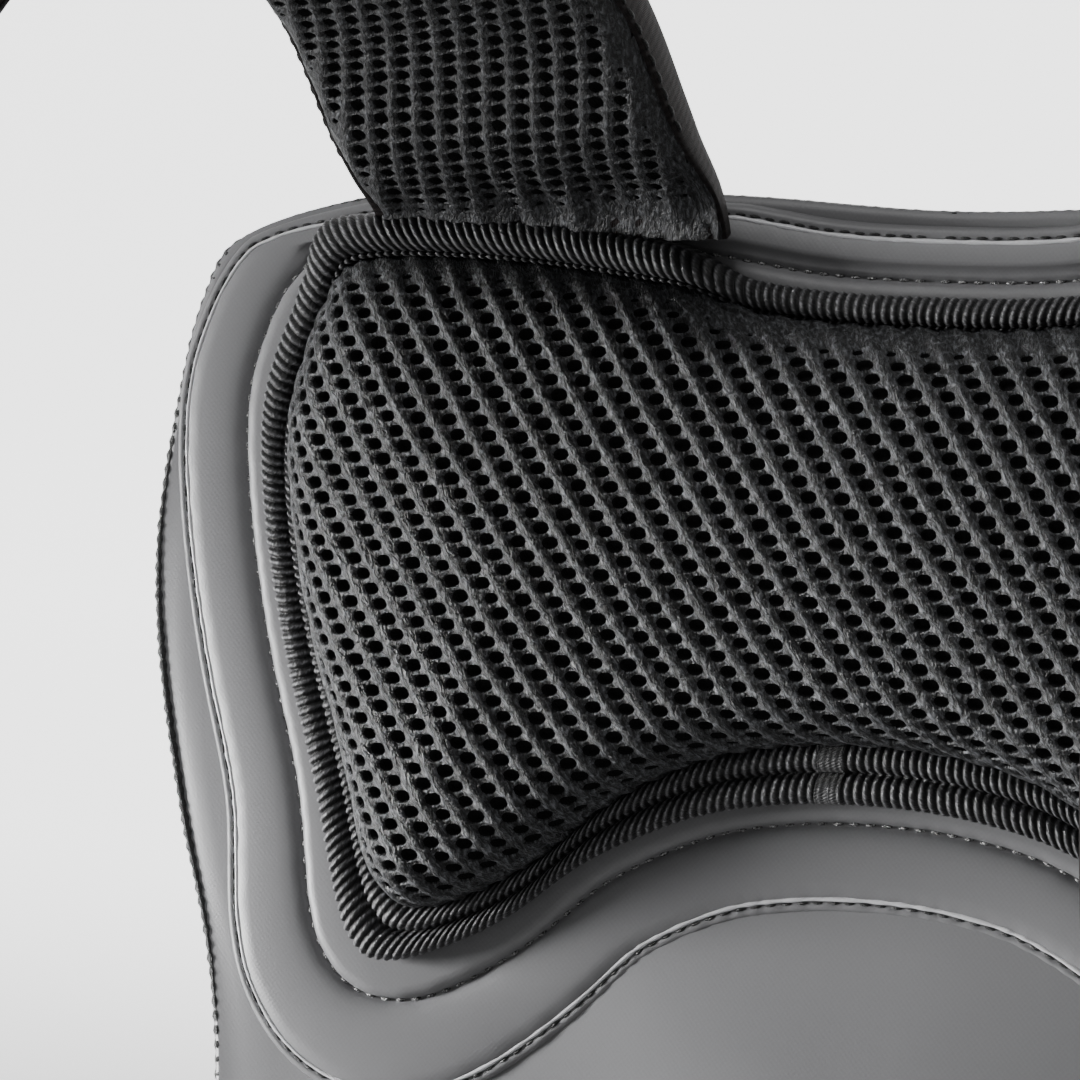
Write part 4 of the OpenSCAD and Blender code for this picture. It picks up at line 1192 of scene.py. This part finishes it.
def lock_frame(side):
    """Where a strap's lower end is, and the run of the webbing down to its patch."""
    end = strap_points()[-1]
    patch_z = 118.0
    patch = np.array([HALF_WAIST - 17, float(back_y(patch_z)) - 4.2, patch_z])
    run = patch - end
    length = np.linalg.norm(run)
    z = run / length
    y = np.array([-z[1], z[0], 0.0]) / math.hypot(z[0], z[1])
    x = np.cross(y, z)

    def world(points):
        points = np.asarray(points, float)
        p = end + points[:, :1] * x + points[:, 1:2] * z
        return p * [side, 1, 1]

    return world, y * [side, 1, 1], length, patch * [side, 1, 1]


def build_adjuster(side, label):
    """Webbing from a strap's end through its ladder lock, and down to its sewn patch."""
    world, wide, length, patch = lock_frame(side)
    web = BAR_R + FIT + WEB_T / 2
    loop = np.vstack([[(0.5, -7), (1.6, 0)], [(web * .9, LOCK_GAP - 6)],
                      turn_round((0, LOCK_GAP), web, 0, 180, 12),
                      [(-web * .9, LOCK_GAP - 6), (-1.6, 0), (-0.5, -7)]])
    path = resample(open_curve(loop, 6), 60, False)
    ribbon(f"loop_webbing_{label}", world(path), wide, WEB_W, WEB_T, f"strap_loop_{label}")

    low = LOCK_GAP + 2 * BAR_STEP
    run = np.vstack([[(0, length - 1.2), (0, length - 30), (0, low + 14), (1.2, low + 7),
                      (web * .9, low + 2.5)], turn_round((0, low), web, 0, -180, 12),
                     [(-web * .95, low + 3), (-2.3, low + 7), (-1.85, low + 11.5)]])
    path = resample(open_curve(run, 6), 160, False)
    piece = ribbon(f"adjuster_webbing_{label}", world(path), wide, WEB_W, WEB_T,
                   f"adjuster_{label}", None)
    start, stop = world([(0, low + 3), (0, KEEPER_SHARE * length - 5.3)]) * MM
    tuple(start)
    tuple(stop)
    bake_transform(piece)

    half_w, half_h = WEB_W / 2 + 3, 17.0
    turn = np.linspace(0, 2 * np.pi, 120, endpoint=False)[::-1]
    shape = np.stack([np.sign(np.cos(turn)) * np.abs(np.cos(turn)) ** 0.22 * half_w,
                      np.sign(np.sin(turn)) * np.abs(np.sin(turn)) ** 0.22 * half_h], -1)
    middle = np.array([patch[0], patch[2]])
    rows = [on_panel(middle + shape * k, h) for k, h in PATCH]
    skin(f"patch_{label}", rows, "coated_lip", [f"adjuster_patch_{label}"])
    box = np.array([(-1, -1), (1, -1), (1, 1), (-1, 1), (-1, -1), (1, 1), (1, -1), (-1, 1)])
    path = on_panel(resample(middle + box * [half_w - 3, half_h - 4], 160, False), 2.05)
    sew(f"patch_stitches_{label}", path, FRONT, WEB_STITCH)


# ---- Waist belt --------------------------------------------------------------

WING_R, WING_T, WING_H, WING_END_H, FRONT_R = 118.0, 10.0, 100.0, 64.0, 60.0
WING_START, WING_STOP = math.radians(56), math.radians(-62)
WING_LENGTH = WING_R * (WING_START - WING_STOP)
ROOT_R = WING_T / 2 + 0.8
HINGE = np.array([HALF_WAIST + 0.9 + ROOT_R + 0.5, 3.0])
WING_C = HINGE - WING_R * np.array([math.cos(WING_START), math.sin(WING_START)])
STOP_DIR = np.array([math.cos(WING_STOP), math.sin(WING_STOP)])
WING_TIP = WING_C + WING_R * STOP_DIR
FRONT_C = WING_TIP - FRONT_R * STOP_DIR
BELT_T, BELT_W, BAR_X, BELT_START = 1.8, 38.0, 62.0, math.radians(14)
BELT_OFF = ROOT_R + BELT_T / 2
BELT_Y = FRONT_C[1] - FRONT_R - BELT_OFF
# Rings of a wing's skin, and the section of its tape: distance in, offset and rib depth
WING_SHARES = [.02, .1, .2, .3, .4, .5, .58, .66, .74, .8, .86, .9, .94, .97, 1.0]
WING_TAPE = [(7.2, 2.4, 0), (6.6, 4.2, .1), (5.2, 4.9, .2), (3.2, 4.9, .2), (1.4, 4.0, .2),
             (.3, 2.3, .2), (0, 0, .2), (.3, -2.3, .2), (1.4, -4.0, .2), (3.2, -4.9, .2),
             (5.2, -4.9, .2), (6.6, -4.2, .1), (7.2, -2.4, 0)]


def wing_place(side):
    """Puts (distance forward, height, offset outwards) on one wing's bend."""
    def place(sz, off):
        sz = np.asarray(sz, float)
        a = WING_START - sz[..., 0] / WING_R
        r = WING_R + np.asarray(off)
        return np.stack([side * (WING_C[0] + r * np.cos(a)), WING_C[1] + r * np.sin(a),
                         sz[..., 1]], -1)
    return place


def wing_outline(inset, count=520):
    """Clockwise outline of a wing laid flat, in distance forward and height."""
    a, b = WING_H / 2 - inset, WING_END_H / 2 - inset
    low, high = inset, WING_LENGTH - inset
    half = [(low, 0), (low, .4 * a), (low, .8 * a), (low + 1.2, .95 * a), (low + 5, a),
            (low + 20, a), (45, a - 1), (WING_LENGTH * .45, a * .72 + b * .28),
            (WING_LENGTH * .75, a * .25 + b * .75), (high - 24, b), (high - 10, b - .8),
            (high - 2.5, b - 6), (high, .6 * b), (high, 0)]
    full = np.array(half + [(x, -z) for x, z in half[-2:0:-1]])
    return closed_at(full, even_parameters(full, count))


def build_wing(side, label):
    """One padded wing: its coated outer side, its mesh lining and the tape round it."""
    place = wing_place(side)
    body = f"wing_{label}"
    edge = wing_outline(0.3)
    middle = np.array([WING_LENGTH / 2, 0.0])
    lip = wing_outline(6.0)

    def fill_at(sz):
        d = nearest(sz, edge)[0]
        return 2.3 + 2.4 * smooth(d, 4, 20) + 0.15 * np.sin(sz[:, 0] * 0.07) * smooth(d, 8, 30)

    rows = []
    for s in WING_SHARES:
        sz = middle + (lip - middle) * s
        rows.append(place(sz, fill_at(sz)))
    rows.append(place(lip, 0.5))
    skin(f"wing_outer_{label}", rows, "coated",
                   [f"wing_skin_{label}", f"wing_foam_{label}"], (True, False), body)

    up = [0.0, WING_H / 2 + 4]
    knit(f"wing_inner_{label}", "knit", [f"wing_liner_{label}"],
         ((-20, 46), (0, 52), 6.7, 2.15, 2.15, (1.85, 0.86),
          lambda centre: nearest(centre + up, lip)[0] > -1.5,
          lambda centre: smooth(nearest(centre + up, lip)[0], 1.5, 6),
          lambda plane, height: place(plane + up, -(fill_at(plane + up) + height)), 8), body)

    count = int(arc_lengths(edge, True)[-1] / RIB) * 6
    ring = resample(wing_outline(0.0), count)
    inner = resample(wing_outline(7.0), count)
    inner = np.roll(inner, -int(np.argmin(np.linalg.norm(inner - ring[0], axis=1))), 0)
    way = inner - ring
    way = way / np.linalg.norm(way, axis=1)[:, None]
    phase = 2 * np.pi * np.arange(count) / 6
    rows, uv = [], []
    for k, (d, o, depth) in enumerate(WING_TAPE):
        rib = (np.abs(np.cos(phase / 2 + 0.1 * k)) ** 0.7 * 2 - 1) * depth
        side_on = abs(o) < 3
        inward = d - rib * side_on
        outward = o + rib * np.sign(o) * (not side_on)
        rows.append(place(ring + way * inward[:, None], outward))
        uv.append(np.stack([phase / (2 * np.pi) * RIB, np.full(count, k * 1.8)], -1))
    skin(f"wing_tape_{label}", rows + [rows[0]], "tape", [f"wing_binding_{label}"],
         (False, False), body, np.concatenate(uv + [uv[0]]))


def build_belt(side, label):
    """Belt webbing sewn to the wing, led round to the buckle's bar and back on itself."""
    arc = np.degrees([WING_START - BELT_START, WING_STOP])
    first = WING_C + turn_round((0, 0), WING_R + BELT_OFF, arc[0], arc[1], 40)
    second = FRONT_C + turn_round((0, 0), FRONT_R + BELT_OFF, arc[1], -90, 20)[1:]
    web = BAR_R + FIT + BELT_T / 2
    lead = np.array([[BAR_X + 9, BELT_Y], [BAR_X + 4.6, BELT_Y - 1.2]])
    loop = turn_round((BAR_X, BELT_Y), web, -70, -290, 16)
    tail = np.array([[BAR_X + 5.2, BELT_Y + 2.6], [BAR_X + 10, BELT_Y + 2.1],
                     [FRONT_C[0] + 1.3, BELT_Y + 2.1]])
    plan = resample(open_curve(np.vstack([first, second, lead, loop, tail]), 4), 420, False)
    path = np.stack([side * plan[:, 0], plan[:, 1], np.zeros(len(plan))], -1)
    ribbon(f"belt_webbing_{label}", path, (0, 0, 1), BELT_W, BELT_T, f"belt_{label}",
           f"wing_{label}")
    place = wing_place(side)
    begin = WING_R * BELT_START
    box = np.array([(0, -1), (1, -1), (1, 1), (0, 1), (0, -1), (1, 1), (0, 1), (1, -1)])
    off = ROOT_R + BELT_T + 0.05
    for number, at in enumerate((begin + 3, begin + 28, 150, 175)):
        sz = resample(box * [16, BELT_W / 2 - 3] + [at, 0], 120, False)
        path = place(sz, off)
        sew(f"belt_stitches_{label}_{number}", path, place(sz, off + 1) - path, WEB_STITCH,
            body=f"wing_{label}")


# ---- Hardware ----------------------------------------------------------------

def dress(node, kind, bevel=0.45):
    """Gives a construction part its finish and softens its edges."""
    obj = frame["nodes"][node]
    for slot in obj.material_slots:
        slot.link = "OBJECT"
        slot.material = finish(kind)
    if not obj.material_slots:
        obj.data.materials.append(finish(kind))
    m = obj.modifiers.new("soft edges", "BEVEL")
    m.width = bevel * MM
    m.segments = 2
    m.limit_method = "ANGLE"
    m.angle_limit = math.radians(35)
    m.harden_normals = True


# ---- Stage -------------------------------------------------------------------

# Floor in millimetres: half width, front, start and radius of its bend, height of its wall
FLOOR_HALF, FLOOR_FRONT, FLOOR_BEND, BEND_R, WALL = 7000, -6000, 2600, 1400, 5200
# Lamps in metres, watts and degrees: name, place, target, size, power and spread
LAMPS = [("key", (-0.9, -0.2, 0.27), (-0.17, 0.02, 0.13), 0.26, 2.3, 46),
         ("top", (-0.3, -0.5, 1.7), (0, 0, 0.2), 0.8, 8, 180),
         ("back", (0.6, 1.6, 1.2), (0, 0, 0.15), 1.2, 4, 180)]
# Camera: what it looks at in millimetres, its angles, its distance in metres and its lens
AIM, AZIMUTH, RISE = Vector((-64.57, 60.0, 317.67)), math.radians(25), math.radians(7.5)
DISTANCE, LENS = 0.8, 165.3


def build_stage():
    """Pale floor that curves up behind, soft lights and the camera."""
    low = CAD_BOX[0][2] / MM - 0.5
    path = [(FLOOR_FRONT, low), (FLOOR_BEND, low)]
    path += [(FLOOR_BEND + BEND_R * math.sin(a), low + BEND_R * (1 - math.cos(a)))
             for a in np.linspace(0, math.pi / 2, 14)[1:]] + [(FLOOR_BEND + BEND_R, low + WALL)]
    rows = [[(x, y, z) for x in np.linspace(-FLOOR_HALF, FLOOR_HALF, 9)] for y, z in path]
    v, f = loft(rows, False)
    mesh = bpy.data.meshes.new("floor")
    mesh.from_pydata((v * MM).tolist(), [], f)
    mesh.materials.append(finish("floor"))
    mesh.polygons.foreach_set("use_smooth", np.full(len(mesh.polygons), True))
    floor = bpy.data.objects.new("floor", mesh)
    bpy.context.scene.collection.objects.link(floor)
    floor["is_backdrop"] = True

    settings = bpy.context.scene.protector_sizes
    world = bpy.data.worlds.new("studio")
    world.use_nodes = True
    world.node_tree.nodes["Background"].inputs[0].default_value = (1, 1, 1, 1)
    world.node_tree.nodes["Background"].inputs[1].default_value = settings.room_light
    bpy.context.scene.world = world
    for name, place, target, size, power, spread in LAMPS:
        data = bpy.data.lights.new(name, "AREA")
        data.shape = "DISK"
        data.size = size
        data.energy = power * settings.light
        data.spread = math.radians(spread)
        lamp = bpy.data.objects.new(name, data)
        lamp.location = place
        lamp.visible_camera = False
        lamp.rotation_euler = (Vector(target) - Vector(place)).to_track_quat("-Z", "Y").to_euler()
        bpy.context.scene.collection.objects.link(lamp)

    data = bpy.data.cameras.new("camera")
    data.sensor_width = 36
    data.lens = LENS
    data.clip_start, data.clip_end = 0.02, 60
    camera = bpy.data.objects.new("camera", data)
    back = Vector((math.sin(AZIMUTH) * math.cos(RISE), -math.cos(AZIMUTH) * math.cos(RISE),
                   math.sin(RISE)))
    camera.location = AIM * MM + back * DISTANCE
    camera.rotation_euler = (-back).to_track_quat("-Z", "Y").to_euler()
    bpy.context.scene.collection.objects.link(camera)
    bpy.context.scene.camera = camera


# ---- Add-on ------------------------------------------------------------------

class ProtectorSizes(bpy.types.PropertyGroup):
    """Sizes and light that a user may change"""
    cell: bpy.props.FloatProperty(
        name="Mesh cell", description="Spacing of the holes across the cushions' air mesh",
        default=0.0055, min=0.004, max=0.01, unit="LENGTH")
    light: bpy.props.FloatProperty(
        name="Lamps", description="Strength of the studio lamps", default=1.0, min=0.0, max=4.0)
    room_light: bpy.props.FloatProperty(
        name="Room light", description="Strength of the even light all round",
        default=0.16, min=0.0, max=3.0)


class ProtectorColours(bpy.types.PropertyGroup):
    """Colours that a user may change"""
    coating: bpy.props.FloatVectorProperty(
        name="Coated fabric", description="Colour of the coated fabric", subtype="COLOR",
        default=(0.17, 0.17, 0.175), min=0.0, max=1.0)
    mesh: bpy.props.FloatVectorProperty(
        name="Air mesh", description="Colour of the air mesh", subtype="COLOR",
        default=(0.024, 0.025, 0.027), min=0.0, max=1.0)
    webbing: bpy.props.FloatVectorProperty(
        name="Webbing", description="Colour of the webbing and the tape", subtype="COLOR",
        default=(0.022, 0.022, 0.023), min=0.0, max=1.0)
    plates: bpy.props.FloatVectorProperty(
        name="Plates", description="Colour of the plates", subtype="COLOR",
        default=(0.05, 0.052, 0.055), min=0.0, max=1.0)


class PROTECTOR_OT_stage(bpy.types.Operator):
    """Lay the floor, hang the lamps and place the camera"""
    bl_idname = "protector.stage"
    bl_label = "Stage"

    def execute(self, context):
        build_stage()
        return {"FINISHED"}


class PROTECTOR_OT_panel(bpy.types.Operator):
    """Make the coated panel, its outer cover and its overlocked edge"""
    bl_idname = "protector.panel"
    bl_label = "Back panel"

    def execute(self, context):
        build_panel()
        build_cover()
        build_edge()
        return {"FINISHED"}


class PROTECTOR_OT_cushions(bpy.types.Operator):
    """Make both cushions with their raised bands and ribbed tape"""
    bl_idname = "protector.cushions"
    bl_label = "Cushions"

    def execute(self, context):
        build_band("upper_raised_band", PAD, ["upper_band", "upper_carrier"])
        build_binding("upper_tape", PAD, ["upper_pad_binding"], (-7.0, 278.0))
        build_cushion("upper_cushion", PAD, ["upper_pad_mesh", "upper_pad_foam"])
        build_band("lumbar_raised_band", LOW_PAD, ["lumbar_band", "lumbar_carrier"])
        build_binding("lumbar_tape", LOW_PAD, ["lumbar_pad_binding"])
        build_cushion("lumbar_cushion", LOW_PAD, ["lumbar_pad_mesh", "lumbar_pad_foam"])
        return {"FINISHED"}


class PROTECTOR_OT_plates(bpy.types.Operator):
    """Make the five overlapping plates and finish their rivets"""
    bl_idname = "protector.plates"
    bl_label = "Plates"

    def execute(self, context):
        for i, name in enumerate(PLATE_NAMES):
            build_plate(i, name)
        dress("plate_rivets", "rivet", 0.5)
        return {"FINISHED"}


class PROTECTOR_OT_straps(bpy.types.Operator):
    """Make both shoulder straps with their webbing and patches"""
    bl_idname = "protector.straps"
    bl_label = "Shoulder straps"

    def execute(self, context):
        for side, label in SIDES:
            build_strap(side, label)
            build_adjuster(side, label)
        return {"FINISHED"}


class PROTECTOR_OT_belt(bpy.types.Operator):
    """Make both padded wings of the waist belt and its webbing"""
    bl_idname = "protector.belt"
    bl_label = "Waist belt"

    def execute(self, context):
        for side, label in SIDES:
            build_wing(side, label)
            build_belt(side, label)
        return {"FINISHED"}


class PROTECTOR_OT_hardware(bpy.types.Operator):
    """Finish the ladder locks, keepers, sliders and the side-release buckle"""
    bl_idname = "protector.hardware"
    bl_label = "Hardware"

    def execute(self, context):
        for _, label in SIDES:
            for node in ("ladder_lock", "keeper", "belt_slider"):
                dress(f"{node}_{label}", "buckle")
        for node in ("buckle_socket", "buckle_plug", "prong_upper", "prong_lower"):
            dress(node, "buckle")
        return {"FINISHED"}


SIDES = ((1, "right"), (-1, "left"))
OPERATORS = [PROTECTOR_OT_stage, PROTECTOR_OT_panel, PROTECTOR_OT_cushions, PROTECTOR_OT_plates,
             PROTECTOR_OT_straps, PROTECTOR_OT_belt, PROTECTOR_OT_hardware]


class PROTECTOR_PT_sidebar(bpy.types.Panel):
    """Sizes, colours and pieces of the back protector"""
    bl_idname = "PROTECTOR_PT_sidebar"
    bl_label = "Back protector"
    bl_space_type = "VIEW_3D"
    bl_region_type = "UI"
    bl_category = "Protector"

    def draw(self, context):
        for settings in (context.scene.protector_sizes, context.scene.protector_colours):
            for name in settings.__annotations__:
                self.layout.prop(settings, name)
        for operator in OPERATORS:
            self.layout.operator(operator.bl_idname)


CLASSES = [ProtectorSizes, ProtectorColours, *OPERATORS, PROTECTOR_PT_sidebar]


def register():
    for cls in CLASSES:
        bpy.utils.register_class(cls)
    bpy.types.Scene.protector_sizes = bpy.props.PointerProperty(type=ProtectorSizes)
    bpy.types.Scene.protector_colours = bpy.props.PointerProperty(type=ProtectorColours)


def unregister():
    del bpy.types.Scene.protector_colours
    del bpy.types.Scene.protector_sizes
    for cls in reversed(CLASSES):
        bpy.utils.unregister_class(cls)


def main():
    register()
    for operator in OPERATORS:
        group_name, name = operator.bl_idname.split(".")
        getattr(getattr(bpy.ops, group_name), name)()
    boxes = {"cad": CAD_BOX, "visual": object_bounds()}
    {k: [list(map(float, corner)) for corner in box] for k, box in boxes.items()}


if __name__ == "__main__":
    main()
